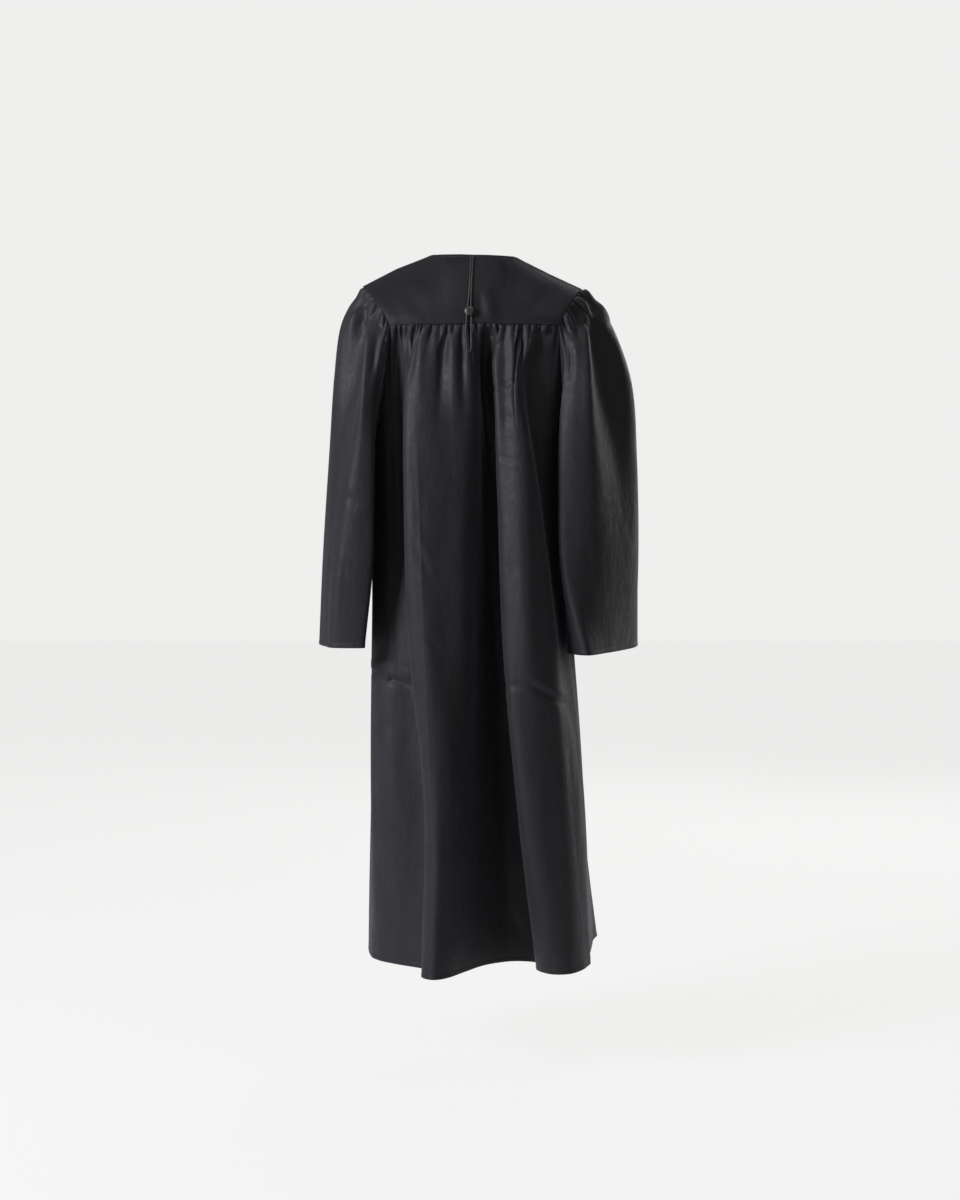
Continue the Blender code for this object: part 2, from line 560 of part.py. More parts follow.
def cord():
    """The loop of thin cord: sewn in at the neck edge, past both sides of the button's shank, hanging below it."""
    stand = 0.5 * WALL + CORD_RADIUS + 0.0005
    # height, X of the middle, half the space between the strands
    strands = (
        ("neck", -0.0020, 0.0055, 0.0017),
        ("upper", -0.0300, 0.0066, 0.0017),
        ("middle", -0.0700, 0.0086, 0.0017),
        ("above_button", -0.0980, 0.0101, 0.0026),
        ("button", BUTTON_Z, BUTTON_X, 0.0040),
        ("below_button", -0.1290, 0.0113, 0.0042),
        ("loop", -0.1550, 0.0122, 0.0052),
        ("loop_turn", LOOP_BOTTOM_Z + 0.0056, 0.0128, 0.0056),
    )
    heights = [-row[1] for row in strands]
    middle = [Vector((row[2], row[3], 0.0)) for row in strands]
    seam = yoke_at(BUTTON_X, BACK_SEAM_Z)[0].y

    def depth(x, z):
        if z > BACK_SEAM_Z + 0.004:
            p, out = yoke_at(x, z)
            return Vector((x, p.y + stand / max(out.y, 0.4), z))
        below = plan_point(line_at_seam(x, CORNER_LEFT, CORNER_RIGHT, BACK_SEAM_Z), z).y
        y = max(below, seam) + stand + 1.15 * GATHER_DEPTH
        return Vector((x, y, z))

    down = [blend(heights[0], heights[-1], k / 26.0) for k in range(27)]
    centre = []
    for h in down:
        m = along(middle, heights, h)
        centre.append((depth(m.x, -h), m.y))
    y = [c[0].y for c in centre]
    for _ in range(3):
        y = [y[0]] + [max(y[k], 0.25 * y[k - 1] + 0.5 * y[k] + 0.25 * y[k + 1]) for k in range(1, len(y) - 1)] + [y[-1]]
    z = [-h for h in down]
    x = [along(middle, heights, h).x for h in down]
    gap = [c[1] for c in centre]
    route = [(x[k] + gap[k], y[k], z[k]) for k in range(len(down))]
    for k in range(1, 8):
        angle = math.pi * k / 8.0
        route.append((x[-1] + gap[-1] * math.cos(angle), y[-1], z[-1] - gap[-1] * math.sin(angle)))
    route += [(x[k] - gap[k], y[k], z[k]) for k in reversed(range(len(down)))]
    curve = bpy.data.curves.new("hood_cord", "CURVE")
    curve.dimensions = "3D"
    spline = curve.splines.new("POLY")
    spline.points.add(len(route) - 1)
    for spot, p in zip(spline.points, route):
        spot.co = (*p, 1.0)
    curve.bevel_depth = CORD_RADIUS
    curve.bevel_resolution = 2
    curve.use_fill_caps = True
    return place("hood_cord", curve, PIECES, GOWN, (0.010, 0.010, 0.012), 0.6)


for old in list(bpy.data.objects):
    bpy.data.objects.remove(old, do_unlink=True)

PIECES = bpy.data.collections.new("graduation_gown")
bpy.context.scene.collection.children.link(PIECES)
GOWN = bpy.data.objects.new("gown", None)
PIECES.objects.link(GOWN)

cloth("yoke_back", lambda c, band, s: back_yoke_point(c / 56.0, s), 56, (), shares(6))
cloth("yoke_front_left", lambda c, band, s: front_yoke_point(1, c / 24.0, s), 24, (), shares(6))
cloth("yoke_front_right", lambda c, band, s: front_yoke_point(-1, c / 24.0, s), 24, (), shares(6))
body_panel("back_panel", 0, SIDE_RIGHT, CORNER_LEFT, CORNER_RIGHT, BACK_GATHERS, 6, 0.4, BACK_ROWS, 0.0003)
body_panel("front_right", SIDE_RIGHT, CENTRE, FRONT_RIGHT, CENTRE, FRONT_GATHERS, 6, 1.9, FRONT_ROWS, 0.0005)
body_panel("front_left", CENTRE, COUNT, CENTRE, FRONT_LEFT, FRONT_GATHERS, 6, 3.1, FRONT_ROWS, 0.0005)
sleeve("sleeve_left", 1, SLEEVE_LEFT, LEFT_CUFF_Z, 0.7)
sleeve("sleeve_right", -1, SLEEVE_RIGHT, RIGHT_CUFF_Z, 2.2)
placket()
button()
cord()
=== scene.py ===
# %% [markdown]
# A black graduation gown, in the shape that it has when worn, seen from behind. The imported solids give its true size
# and its main folds. This lesson dresses them: each cut piece becomes a thin shell of cloth with gathers and creases.

# %% The frame
import math

import bmesh
import bpy
import numpy as np
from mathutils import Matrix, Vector


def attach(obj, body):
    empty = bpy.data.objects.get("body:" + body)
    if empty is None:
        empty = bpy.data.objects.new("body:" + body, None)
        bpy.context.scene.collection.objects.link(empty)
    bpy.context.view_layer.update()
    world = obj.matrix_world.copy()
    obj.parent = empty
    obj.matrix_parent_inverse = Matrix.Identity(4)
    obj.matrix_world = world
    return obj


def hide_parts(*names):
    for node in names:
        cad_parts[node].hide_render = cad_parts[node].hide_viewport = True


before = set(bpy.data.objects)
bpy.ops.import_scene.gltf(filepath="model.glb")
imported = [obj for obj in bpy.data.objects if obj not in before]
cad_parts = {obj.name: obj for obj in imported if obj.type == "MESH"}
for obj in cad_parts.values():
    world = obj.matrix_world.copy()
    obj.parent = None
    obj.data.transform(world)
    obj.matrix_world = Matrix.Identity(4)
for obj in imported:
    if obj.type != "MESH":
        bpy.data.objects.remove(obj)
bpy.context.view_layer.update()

# %% [markdown]
# The cloth's sizes. A satin-faced polyester is about a third of a millimetre thick. It is drawn a little thicker, so
# that its edges catch light at this scale. The heights are those of the seams, the cuffs and the hem.

# %% Sizes in metres
CLOTH = 0.0009
HEM_Z = -1.318
UNDERARM_Z = -0.360
BACK_SEAM_Z = -0.138
FRONT_CORNER_Z = -0.176
FRONT_CENTRE_Z = -0.192
SEAM_GAP = 0.0004
print("yoke seam to hem", round(BACK_SEAM_Z - HEM_Z, 3), "m")

# %% [markdown]
# The camera stands a little above waist height, four metres behind the gown, where the photograph was taken from. A
# long lens keeps the upright folds straight. It is made first, because a free cord is judged by what the camera sees.

# %% Camera
camera_data = bpy.data.cameras.new("studio_camera")
camera = bpy.data.objects.new("studio_camera", camera_data)
bpy.context.scene.collection.objects.link(camera)
CAMERA_AT = (-0.0088, 4.089, -0.449)
CAMERA_PITCH = 2.716
SENSOR_HEIGHT = 36.0
FOCAL_PIXELS, FRAME_PIXELS = 2181.0, 1200.0
camera.location = CAMERA_AT
camera.rotation_euler = (math.radians(90.0 - CAMERA_PITCH), 0.0, math.radians(180.0))
camera_data.sensor_fit = "VERTICAL"
camera_data.sensor_height = SENSOR_HEIGHT
camera_data.lens = SENSOR_HEIGHT * FOCAL_PIXELS / FRAME_PIXELS
camera_data.clip_end = 50.0
bpy.context.scene.camera = camera
print("camera lens", round(camera_data.lens, 1), "mm")

# %% [markdown]
# A gown is wide cloth hung from a yoke, so its shape is a set of lines that run down the cloth: the crest of a fold,
# its edge, the floor of a valley. Each row below is one line, with X and Y where it passes the seam, chest, waist,
# hip, knee and hem. The rows go round the body from the left side over the back to the right side and the front.
# The folds could be sculpted or simulated, but named lines can be set to the photograph one by one.

# %% Lines of the body
LEVELS = (-0.135, -0.273, -0.457, -0.7145, -1.009, HEM_Z)
FOLDS = {
    "side_left": (
        (0.182, 0.010), (0.187, 0.006), (0.1925, 0.000), (0.1945, 0.000), (0.1965, 0.000), (0.1955, 0.000)),
    "left_of_back": (
        (0.170, 0.080), (0.174, 0.058), (0.183, 0.028), (0.187, 0.032), (0.186, 0.040), (0.182, 0.032)),
    "corner_left": (
        (0.155, 0.100), (0.158, 0.072), (0.158, 0.050), (0.160, 0.060), (0.155, 0.074), (0.148, 0.068)),
    "under_left_fold": (
        (0.130, 0.107), (0.132, 0.086), (0.120, 0.062), (0.107, 0.080), (0.084, 0.100), (0.086, 0.119)),
    "left_fold_edge": (
        (0.106, 0.112), (0.130, 0.134), (0.132, 0.150), (0.119, 0.158), (0.093, 0.165), (0.097, 0.174)),
    "left_fold_crest": (
        (0.084, 0.115), (0.109, 0.153), (0.105, 0.171), (0.092, 0.181), (0.070, 0.190), (0.077, 0.202)),
    "left_fold_face": (
        (0.052, 0.118), (0.064, 0.151), (0.060, 0.166), (0.056, 0.171), (0.047, 0.175), (0.047, 0.181)),
    "left_fold_turn": (
        (0.014, 0.119), (0.006, 0.136), (0.009, 0.137), (0.018, 0.135), (0.027, 0.134), (0.018, 0.130)),
    "valley_left": (
        (-0.007, 0.119), (-0.014, 0.112), (-0.014, 0.096), (-0.018, 0.084), (-0.025, 0.075), (-0.024, 0.069)),
    "valley_floor": (
        (-0.022, 0.119), (-0.029, 0.098), (-0.034, 0.080), (-0.043, 0.067), (-0.058, 0.052), (-0.072, 0.042)),
    "under_right_fold": (
        (-0.038, 0.119), (-0.045, 0.096), (-0.053, 0.082), (-0.066, 0.072), (-0.089, 0.062), (-0.118, 0.056)),
    "right_fold_edge": (
        (-0.054, 0.118), (-0.036, 0.128), (-0.040, 0.146), (-0.051, 0.158), (-0.076, 0.155), (-0.113, 0.112)),
    "right_fold_crest": (
        (-0.072, 0.117), (-0.062, 0.149), (-0.071, 0.167), (-0.086, 0.179), (-0.103, 0.180), (-0.134, 0.152)),
    "right_fold_turn": (
        (-0.093, 0.115), (-0.082, 0.143), (-0.112, 0.152), (-0.140, 0.154), (-0.158, 0.157), (-0.172, 0.153)),
    "right_recess": (
        (-0.121, 0.110), (-0.094, 0.110), (-0.120, 0.108), (-0.152, 0.104), (-0.182, 0.118), (-0.197, 0.116)),
    "corner_right": (
        (-0.1535, 0.100), (-0.142, 0.092), (-0.146, 0.075), (-0.166, 0.062), (-0.198, 0.072), (-0.211, 0.074)),
    "right_of_back": (
        (-0.164, 0.080), (-0.163, 0.066), (-0.158, 0.042), (-0.177, 0.030), (-0.203, 0.036), (-0.215, 0.040)),
    "side_right": (
        (-0.172, 0.012), (-0.170, 0.008), (-0.163, 0.000), (-0.184, -0.010), (-0.204, -0.010), (-0.216, -0.005)),
    "right_side_front": (
        (-0.170, -0.050), (-0.168, -0.055), (-0.157, -0.060), (-0.178, -0.085), (-0.207, -0.120), (-0.228, -0.140)),
    "front_corner_right": (
        (-0.152, -0.080), (-0.150, -0.110), (-0.140, -0.145), (-0.158, -0.180), (-0.190, -0.200), (-0.236, -0.205)),
    "front_valley_right": (
        (-0.112, -0.100), (-0.112, -0.122), (-0.110, -0.126), (-0.118, -0.135), (-0.135, -0.140), (-0.160, -0.145)),
    "front_fold_right": (
        (-0.072, -0.110), (-0.075, -0.140), (-0.075, -0.162), (-0.080, -0.185), (-0.090, -0.205), (-0.100, -0.225)),
    "front_dip_right": (
        (-0.036, -0.114), (-0.038, -0.139), (-0.038, -0.147), (-0.040, -0.154), (-0.042, -0.163), (-0.045, -0.170)),
    "front_centre": (
        (0.000, -0.116), (0.000, -0.144), (0.000, -0.156), (0.000, -0.168), (0.000, -0.183), (0.000, -0.193)),
    "front_dip_left": (
        (0.036, -0.114), (0.038, -0.140), (0.037, -0.148), (0.036, -0.156), (0.035, -0.165), (0.034, -0.172)),
    "front_fold_left": (
        (0.070, -0.110), (0.072, -0.142), (0.070, -0.165), (0.070, -0.190), (0.072, -0.205), (0.075, -0.220)),
    "front_valley_left": (
        (0.110, -0.100), (0.110, -0.122), (0.112, -0.126), (0.112, -0.131), (0.115, -0.136), (0.118, -0.140)),
    "front_corner_left": (
        (0.152, -0.080), (0.150, -0.110), (0.152, -0.145), (0.155, -0.175), (0.162, -0.195), (0.168, -0.210)),
    "left_side_front": (
        (0.178, -0.050), (0.180, -0.055), (0.187, -0.062), (0.190, -0.085), (0.197, -0.110), (0.205, -0.120)),
}
LINES = list(FOLDS)
COUNT = len(LINES)
CORNER_LEFT, CORNER_RIGHT = LINES.index("corner_left"), LINES.index("corner_right")
SIDE_RIGHT, CENTRE = LINES.index("side_right"), LINES.index("front_centre")
FRONT_RIGHT, FRONT_LEFT = LINES.index("front_corner_right"), LINES.index("front_corner_left")
print(COUNT, "lines round the body")

# %% [markdown]
# A smooth curve through those points gives the cloth between them. Its slopes are held back where two points lie
# close together, so a sharp fold edge can't make a loop. All the points of a piece are worked out at once.


# %% Smooth curves
def hermite(a, b, slope_a, slope_b, t):
    return (a * (2 * t**3 - 3 * t**2 + 1) + slope_a * (t**3 - 2 * t**2 + t)
            + b * (3 * t**2 - 2 * t**3) + slope_b * (t**3 - t**2))


def held_slope(before, here, after):
    slope = (after - before) * 0.5
    size = np.linalg.norm(slope, axis=-1, keepdims=True)
    limit = 1.4 * np.minimum(np.linalg.norm(here - before, axis=-1, keepdims=True),
                             np.linalg.norm(after - here, axis=-1, keepdims=True))
    return slope * np.minimum(1.0, limit / np.maximum(size, 1e-9))


def along(table, places, rows, at):
    """table[row, place] read at any place, with rows and at given for each point."""
    places = np.asarray(places)
    at = np.clip(at, places[0] - 0.05, places[-1])
    i = np.clip(np.searchsorted(places, at) - 1, 0, len(places) - 2)
    ends = [(max(k - 1, 0), min(k + 1, len(places) - 1)) for k in range(len(places))]
    slopes = np.stack([(table[:, b] - table[:, a]) / (places[b] - places[a]) for a, b in ends], axis=1)
    step = (places[i + 1] - places[i])[..., None]
    t = (at - places[i])[..., None] / step
    return hermite(table[rows, i], table[rows, i + 1], slopes[rows, i] * step, slopes[rows, i + 1] * step, t)


print("a curve with level ends passes", hermite(0.0, 1.0, 0.0, 0.0, 0.5), "halfway")

# %% The cloth of the body
FOLD_TABLE = np.array([FOLDS[name] for name in LINES])


def body_point(u, z):
    """The cloth of the body on line number u at the height z."""
    u, z = np.broadcast_arrays(np.asarray(u, float), np.asarray(z, float))
    i = np.floor(u).astype(int)
    p = [along(FOLD_TABLE, [-v for v in LEVELS], (i + k) % COUNT, -z) for k in (-1, 0, 1, 2)]
    xy = hermite(p[1], p[2], held_slope(p[0], p[1], p[2]), held_slope(p[1], p[2], p[3]), (u - i)[..., None])
    return np.concatenate([xy, z[..., None]], axis=-1)


def body_normal(u, z):
    """The level way out of the cloth on line number u at the height z."""
    t = body_point(u + 0.04, z) - body_point(u - 0.04, z)
    n = np.stack([t[..., 1], -t[..., 0], np.zeros(t.shape[:-1])], axis=-1)
    return n / np.linalg.norm(n, axis=-1, keepdims=True)


crest_at_waist = body_point(LINES.index("left_fold_crest"), LEVELS[2])
print("left fold's crest at the waist", [round(float(v), 3) for v in crest_at_waist])

# %% [markdown]
# The upper edge of the body is the two yoke seams, and between them the armholes, which drop steeply to the underarm.
# The back seam wavers by about a millimetre, as a seam does where gathers of different depth pull on it.


# %% Upper edge of the body
def top_height(u):
    """The height of the body's upper edge on line number u."""
    u = np.asarray(u, float)
    back = BACK_SEAM_Z + 0.002 * np.sin(np.pi * (u - CORNER_LEFT) / (CORNER_RIGHT - CORNER_LEFT))
    along_back = np.clip((u - CORNER_LEFT) / (CORNER_RIGHT - CORNER_LEFT), 0.0, 1.0)
    back = back + 0.0012 * np.sin(np.pi * along_back) * np.sin(15.0 * along_back + 0.6)
    from_centre = np.abs(u - CENTRE) / (FRONT_LEFT - CENTRE)
    front = FRONT_CENTRE_Z + (FRONT_CORNER_Z - FRONT_CENTRE_Z) * from_centre
    edges = (
        (u < CORNER_LEFT, BACK_SEAM_Z, u / CORNER_LEFT),
        ((u > CORNER_RIGHT) & (u < SIDE_RIGHT), BACK_SEAM_Z, (SIDE_RIGHT - u) / (SIDE_RIGHT - CORNER_RIGHT)),
        ((u >= SIDE_RIGHT) & (u < FRONT_RIGHT), FRONT_CORNER_Z, (u - SIDE_RIGHT) / (FRONT_RIGHT - SIDE_RIGHT)),
        (u > FRONT_LEFT, FRONT_CORNER_Z, (COUNT - u) / (COUNT - FRONT_LEFT)),
    )
    height = np.where(u <= SIDE_RIGHT, back, front)
    for where, corner, share in edges:
        hole = corner + (UNDERARM_Z - corner) * np.cos(0.5 * np.pi * np.clip(share, 0.0, 1.0))
        height = np.where(where, hole, height)
    return height - SEAM_GAP


def line_at(x, first, last):
    """The line whose cloth meets a yoke seam at a given X."""
    z = float(top_height(0.5 * (first + last)))
    lines = np.arange(first, last + 1)
    places = body_point(lines, z)[:, 0]
    order = np.argsort(places)
    return np.interp(x, places[order], lines[order].astype(float))


print("seam heights", [round(float(top_height(u)), 3) for u in (0, CORNER_LEFT, CORNER_RIGHT, CENTRE)])

# %% [markdown]
# Gathers are the gown's main detail. A gathering thread bunches the cloth into puckers: round crests with narrow
# valleys, deepest just under the seam and gone after a few centimetres. Below them neighbours join into wider folds,
# which run on for different lengths. No two are alike, so depth, lean and length all wander along the seam. They
# could be painted as bump, but real puckers change the cloth's outline and shade each other, so they are made as form.

# %% Gathers
GATHER_DEPTH = 0.0036
FOLD_DEPTH = 0.0030


def gathers(number, distance, seed, reach=0.110):
    """How far the cloth stands out at a gather number and a distance below the seam."""
    which = np.floor(number)
    wobble = np.sin(which * 2.4 + seed)
    across = number - which
    across = across + 0.11 * wobble * np.sin(2.0 * np.pi * across)
    crest = np.abs(np.sin(np.pi * across)) ** 0.8
    short = 0.034 + 0.022 * np.cos(which * 1.7 + seed)
    fade = np.clip(1.0 - (distance - 0.009) / short, 0.0, 1.0) ** 1.2
    level = np.clip(1.0 - (distance - 0.009) / 0.045, 0.0, 1.0) ** 1.2
    pucker = GATHER_DEPTH * ((1.55 + 0.75 * wobble) * crest * fade - 0.95 * level)
    pucker *= 0.55 + 0.45 * np.clip(distance / 0.006, 0.0, 1.0)
    wander = 0.5 * number + 0.28 * np.sin(0.9 * number + seed)
    run = reach * (1.0 + 0.55 * np.sin(1.3 * number + 2.0 * seed))
    fold = np.sin(2.0 * np.pi * wander) * np.clip(distance / 0.035, 0.0, 1.0)
    fold *= np.clip(1.0 - (distance - 0.035) / run, 0.0, 1.0) ** 1.4
    return pucker + FOLD_DEPTH * (0.75 + 0.45 * np.sin(0.7 * number + seed)) * fold


pucker_height = float(gathers(np.array(3.5), np.array(0.015), 0.4))
print("a gather 15 mm below the seam stands", round(1000 * pucker_height, 1), "mm out")

# %% [markdown]
# Creases are soft troughs and ridges. Each row is a line on the gown seen from the back or front:
# X and Z where it starts and ends, how far it stands out or in, and its width. A hung one is strongest near its start,
# under a seam, and fades down. A pressed one fades at both ends, as the marks of packing do, some of them level.


# %% Creases
def creases(points, table):
    """How far a table of creases moves each point outwards."""
    height = np.zeros(points.shape[:-1])
    for name, x0, z0, x1, z1, depth, width in table:
        dx, dz = x1 - x0, z1 - z0
        t = np.clip(((points[..., 0] - x0) * dx + (points[..., 2] - z0) * dz) / (dx * dx + dz * dz), 0.0, 1.0)
        away = np.hypot(points[..., 0] - x0 - t * dx, points[..., 2] - z0 - t * dz)
        if name.startswith("hung"):
            strength = (0.5 + 0.5 * np.clip(t / 0.15, 0.0, 1.0)) * (0.5 + 0.5 * np.cos(np.pi * t))
        else:
            strength = np.sin(np.pi * t) ** 0.8
        height += depth * strength * np.exp(-((away / width) ** 2))
    return height


BACK_CREASES = (
    ("side_level_fold", 0.200, -0.774, 0.112, -0.799, -0.0062, 0.0052),
    ("side_level_ridge", 0.200, -0.762, 0.112, -0.786, 0.0046, 0.0070),
    ("side_knee", 0.190, -0.936, 0.158, -0.941, -0.0016, 0.0050),
    ("side_calf", 0.188, -1.049, 0.160, -1.052, -0.0014, 0.0050),
    ("side_low", 0.188, -1.127, 0.139, -1.137, -0.0024, 0.0050),
    ("side_low_ridge", 0.188, -1.118, 0.142, -1.127, 0.0014, 0.0060),
    ("right_fold_level", -0.050, -0.789, -0.112, -0.789, -0.0030, 0.0050),
    ("right_fold_slope", -0.092, -0.783, -0.172, -0.830, -0.0052, 0.0058),
    ("right_fold_slope_ridge", -0.090, -0.770, -0.170, -0.816, 0.0038, 0.0080),
    ("right_fold_drop", -0.168, -0.827, -0.180, -0.862, -0.0020, 0.0060),
    ("right_chest_fold", -0.034, -0.258, -0.086, -0.234, -0.0034, 0.0046),
    ("right_chest_ridge", -0.036, -0.270, -0.086, -0.247, 0.0020, 0.0070),
    ("right_chest_ripple", -0.044, -0.298, -0.082, -0.320, -0.0020, 0.0056),
    ("right_back_ripple", -0.042, -0.292, -0.066, -0.281, 0.0012, 0.0060),
    ("right_waist", -0.034, -0.371, -0.080, -0.390, -0.0022, 0.0046),
    ("right_waist_ridge", -0.042, -0.383, -0.076, -0.398, 0.0010, 0.0070),
    ("left_fold_dent", 0.112, -0.540, 0.078, -0.584, -0.0040, 0.0058),
    ("left_fold_dent_ridge", 0.098, -0.535, 0.074, -0.572, 0.0024, 0.0080),
    ("left_fold_ripple", 0.110, -0.475, 0.088, -0.505, -0.0016, 0.0060),
    ("left_fold_drag_1", 0.104, -0.420, 0.060, -0.446, -0.0022, 0.0050),
    ("left_fold_drag_2", 0.098, -0.615, 0.050, -0.588, -0.0018, 0.0050),
    ("left_fold_drag_3", 0.086, -0.850, 0.044, -0.872, -0.0020, 0.0060),
    ("left_fold_drag_4", 0.070, -1.060, 0.030, -1.040, -0.0018, 0.0060),
    ("right_fold_drag_1", -0.048, -0.470, -0.100, -0.496, -0.0016, 0.0056),
    ("right_fold_drag_2", -0.056, -0.585, -0.112, -0.560, -0.0020, 0.0055),
    ("right_fold_drag_3", -0.080, -0.930, -0.134, -0.958, -0.0022, 0.0060),
    ("right_fold_drag_4", -0.104, -1.110, -0.150, -1.090, -0.0018, 0.0060),
    ("side_panel_drag_1", 0.188, -0.880, 0.130, -0.862, -0.0016, 0.0060),
    ("side_panel_drag_2", 0.186, -1.210, 0.134, -1.226, -0.0018, 0.0060),
    ("left_fold_hip", 0.088, -0.690, 0.062, -0.735, -0.0014, 0.0080),
    ("left_fold_low", 0.064, -0.930, 0.046, -0.985, -0.0014, 0.0080),
    ("left_fold_foot", 0.070, -1.200, 0.040, -1.262, -0.0014, 0.0090),
    ("hung_long_gather", 0.058, -0.150, 0.067, -0.360, -0.0085, 0.0080),
    ("hung_long_ridge", 0.041, -0.150, 0.036, -0.400, 0.0065, 0.0090),
    ("hung_narrow_gather", 0.025, -0.150, 0.021, -0.330, -0.0085, 0.0055),
    ("hung_grey_band", 0.010, -0.150, 0.008, -0.360, 0.0050, 0.0080),
    ("hung_valley", -0.022, -0.150, -0.028, -0.470, -0.0260, 0.0100),
    ("hung_valley_edge", -0.042, -0.156, -0.043, -0.470, 0.0120, 0.0075),
    ("hung_left_gather", 0.112, -0.146, 0.118, -0.260, -0.0050, 0.0070),
    ("hung_left_ridge", 0.098, -0.150, 0.103, -0.300, 0.0050, 0.0090),
    ("hung_side_seam", 0.1325, -0.146, 0.1330, -0.262, -0.0016, 0.0016),
    ("hung_right_gather", -0.079, -0.150, -0.083, -0.300, -0.0060, 0.0080),
    ("hung_right_ridge", -0.097, -0.150, -0.103, -0.270, 0.0036, 0.0080),
    ("hung_right_gather_2", -0.116, -0.146, -0.118, -0.250, -0.0050, 0.0070),
    ("left_recess", 0.146, -0.120, 0.147, -0.800, -0.0080, 0.0150),
    ("left_fold_fullness", 0.020, -0.200, 0.030, -1.300, 0.0130, 0.0240),
    ("right_fold_fullness", -0.080, -0.190, -0.098, -0.840, 0.0090, 0.0190),
    ("pressed_line", 0.1050, -0.330, 0.0915, -0.714, 0.0011, 0.0025),
    ("pressed_line_low", 0.0915, -0.714, 0.0740, -1.100, 0.0009, 0.0025),
    ("valley_line", -0.028, -0.900, -0.046, -1.180, 0.0018, 0.0100),
    ("hem_ripple", -0.060, -1.215, -0.098, -1.290, -0.0022, 0.0080),
    ("right_fold_line", -0.108, -0.900, -0.140, -1.240, 0.0016, 0.0120),
)
FRONT_CREASES = (
    ("left_level", 0.030, -0.790, 0.120, -0.782, -0.0022, 0.0060),
    ("left_slope", 0.060, -0.420, 0.110, -0.455, -0.0024, 0.0070),
    ("right_level", -0.024, -0.786, -0.130, -0.800, -0.0024, 0.0060),
    ("right_chest", -0.040, -0.300, -0.080, -0.330, -0.0026, 0.0060),
    ("right_low", -0.090, -1.080, -0.150, -1.110, -0.0018, 0.0070),
    ("left_low", 0.070, -1.120, 0.130, -1.100, -0.0018, 0.0070),
    ("right_long", -0.056, -0.200, -0.060, -0.330, 0.0050, 0.0080),
    ("left_long", 0.088, -0.200, 0.092, -0.310, -0.0050, 0.0070),
)
print(len(BACK_CREASES) + len(FRONT_CREASES), "creases on the body")

# %% [markdown]
# One helper turns a grid of points into a piece of cloth: quads, a UV map in metres for the weave, smooth shading, and
# a Solidify wall. Nothing gets a cloth simulation, because the photographed folds are better placed than simulated.


# %% Cloth from a grid
def outward(grid, closed, centre=(0.0, 0.0)):
    """The way out of the cloth at each point of a grid."""
    across = np.gradient(grid, axis=1)
    if closed:
        across = (np.roll(grid, -1, axis=1) - np.roll(grid, 1, axis=1)) * 0.5
    down = np.gradient(grid, axis=0)
    n = np.cross(across, down)
    n /= np.maximum(np.linalg.norm(n, axis=-1, keepdims=True), 1e-12)
    away = grid[..., :2] - np.array(centre)
    return n if float((n[..., :2] * away).sum()) > 0 else -n


def cut_map(grid, quads, closed):
    """The UV map of a grid, in metres across and down the cloth."""
    rows, columns = grid.shape[:2]
    step = np.linalg.norm(np.diff(grid, axis=1), axis=-1)
    width = np.concatenate([np.zeros((rows, 1)), np.cumsum(step, axis=1)], axis=1)
    width = np.repeat(width.mean(axis=0)[None], rows, axis=0)
    drop = np.linalg.norm(np.diff(grid, axis=0), axis=-1)
    length = np.concatenate([np.zeros((1, columns)), np.cumsum(drop, axis=0)], axis=0)
    flat = np.stack([width, length], axis=-1).reshape(-1, 2)
    uv = flat[quads.reshape(-1)].reshape(-1, 4, 2)
    if closed:
        wrap = width[0, -1] + float(np.linalg.norm(grid[0, 0] - grid[0, -1]))
        across_wrap = (uv[..., 0].max(axis=1) - uv[..., 0].min(axis=1)) > 0.5 * wrap
        uv[across_wrap, :, 0] = np.where(uv[across_wrap, :, 0] < 0.5 * wrap, uv[across_wrap, :, 0] + wrap,
                                         uv[across_wrap, :, 0])
    return uv


def cloth_piece(name, grid, closed=False, centre=(0.0, 0.0), wall=CLOTH):
    rows, columns = grid.shape[:2]
    mesh = bpy.data.meshes.new(name)
    index = np.arange(rows * columns).reshape(rows, columns)
    right = np.roll(index, -1, axis=1) if closed else index[:, 1:]
    left = index if closed else index[:, :-1]
    quads = np.stack([left[:-1], left[1:], right[1:], right[:-1]], axis=-1).reshape(-1, 4)
    face = grid.reshape(-1, 3)[quads[:, :3]]
    turned = np.cross(face[:, 1] - face[:, 0], face[:, 2] - face[:, 0])
    if float((turned * outward(grid, closed, centre).reshape(-1, 3)[quads[:, 0]]).sum()) < 0:
        quads = quads[:, ::-1]
    mesh.from_pydata(grid.reshape(-1, 3).tolist(), [], quads.tolist())
    layer = mesh.uv_layers.new(name="cut")
    layer.data.foreach_set("uv", cut_map(grid, quads, closed).reshape(-1).astype(np.float32))
    mesh.shade_smooth()
    piece = bpy.data.objects.new(name, mesh)
    bpy.context.scene.collection.objects.link(piece)
    shell = piece.modifiers.new("cloth_wall", "SOLIDIFY")
    shell.thickness = wall
    shell.offset = 0.0
    tri = np.cross(face[:, 1] - face[:, 0], face[:, 2] - face[:, 1])
    area = float(np.linalg.norm(tri, axis=1).sum())
    print(name, rows, "x", columns, "points,", round(area, 3), "m2")
    return piece


def spaced(parts):
    """Places along a piece: (start, end, how many) for each stretch."""
    return np.unique(np.round(np.concatenate([np.linspace(a, b, n) for a, b, n in parts]), 6))


def hem_line(distance, line=0.009, width=0.0011, depth=0.0005):
    """The slight dip that a row of hem stitches pulls into the cloth, and the doubled cloth below it."""
    dip = -depth * np.exp(-(((distance - line) / width) ** 2))
    return dip + 0.0003 * np.clip(0.5 - (distance - line) / 0.003, 0.0, 1.0)


# %% [markdown]
# The body panels are the back and two fronts. Even columns and rows would have to be very many to draw a gather, so
# they are dense only where the gathers, level creases and hems are. Each panel's top edge tucks a few millimetres under
# the yoke, as a sewn seam does, and the back's side edges run on behind the fronts as seam allowances, so no gap shows.

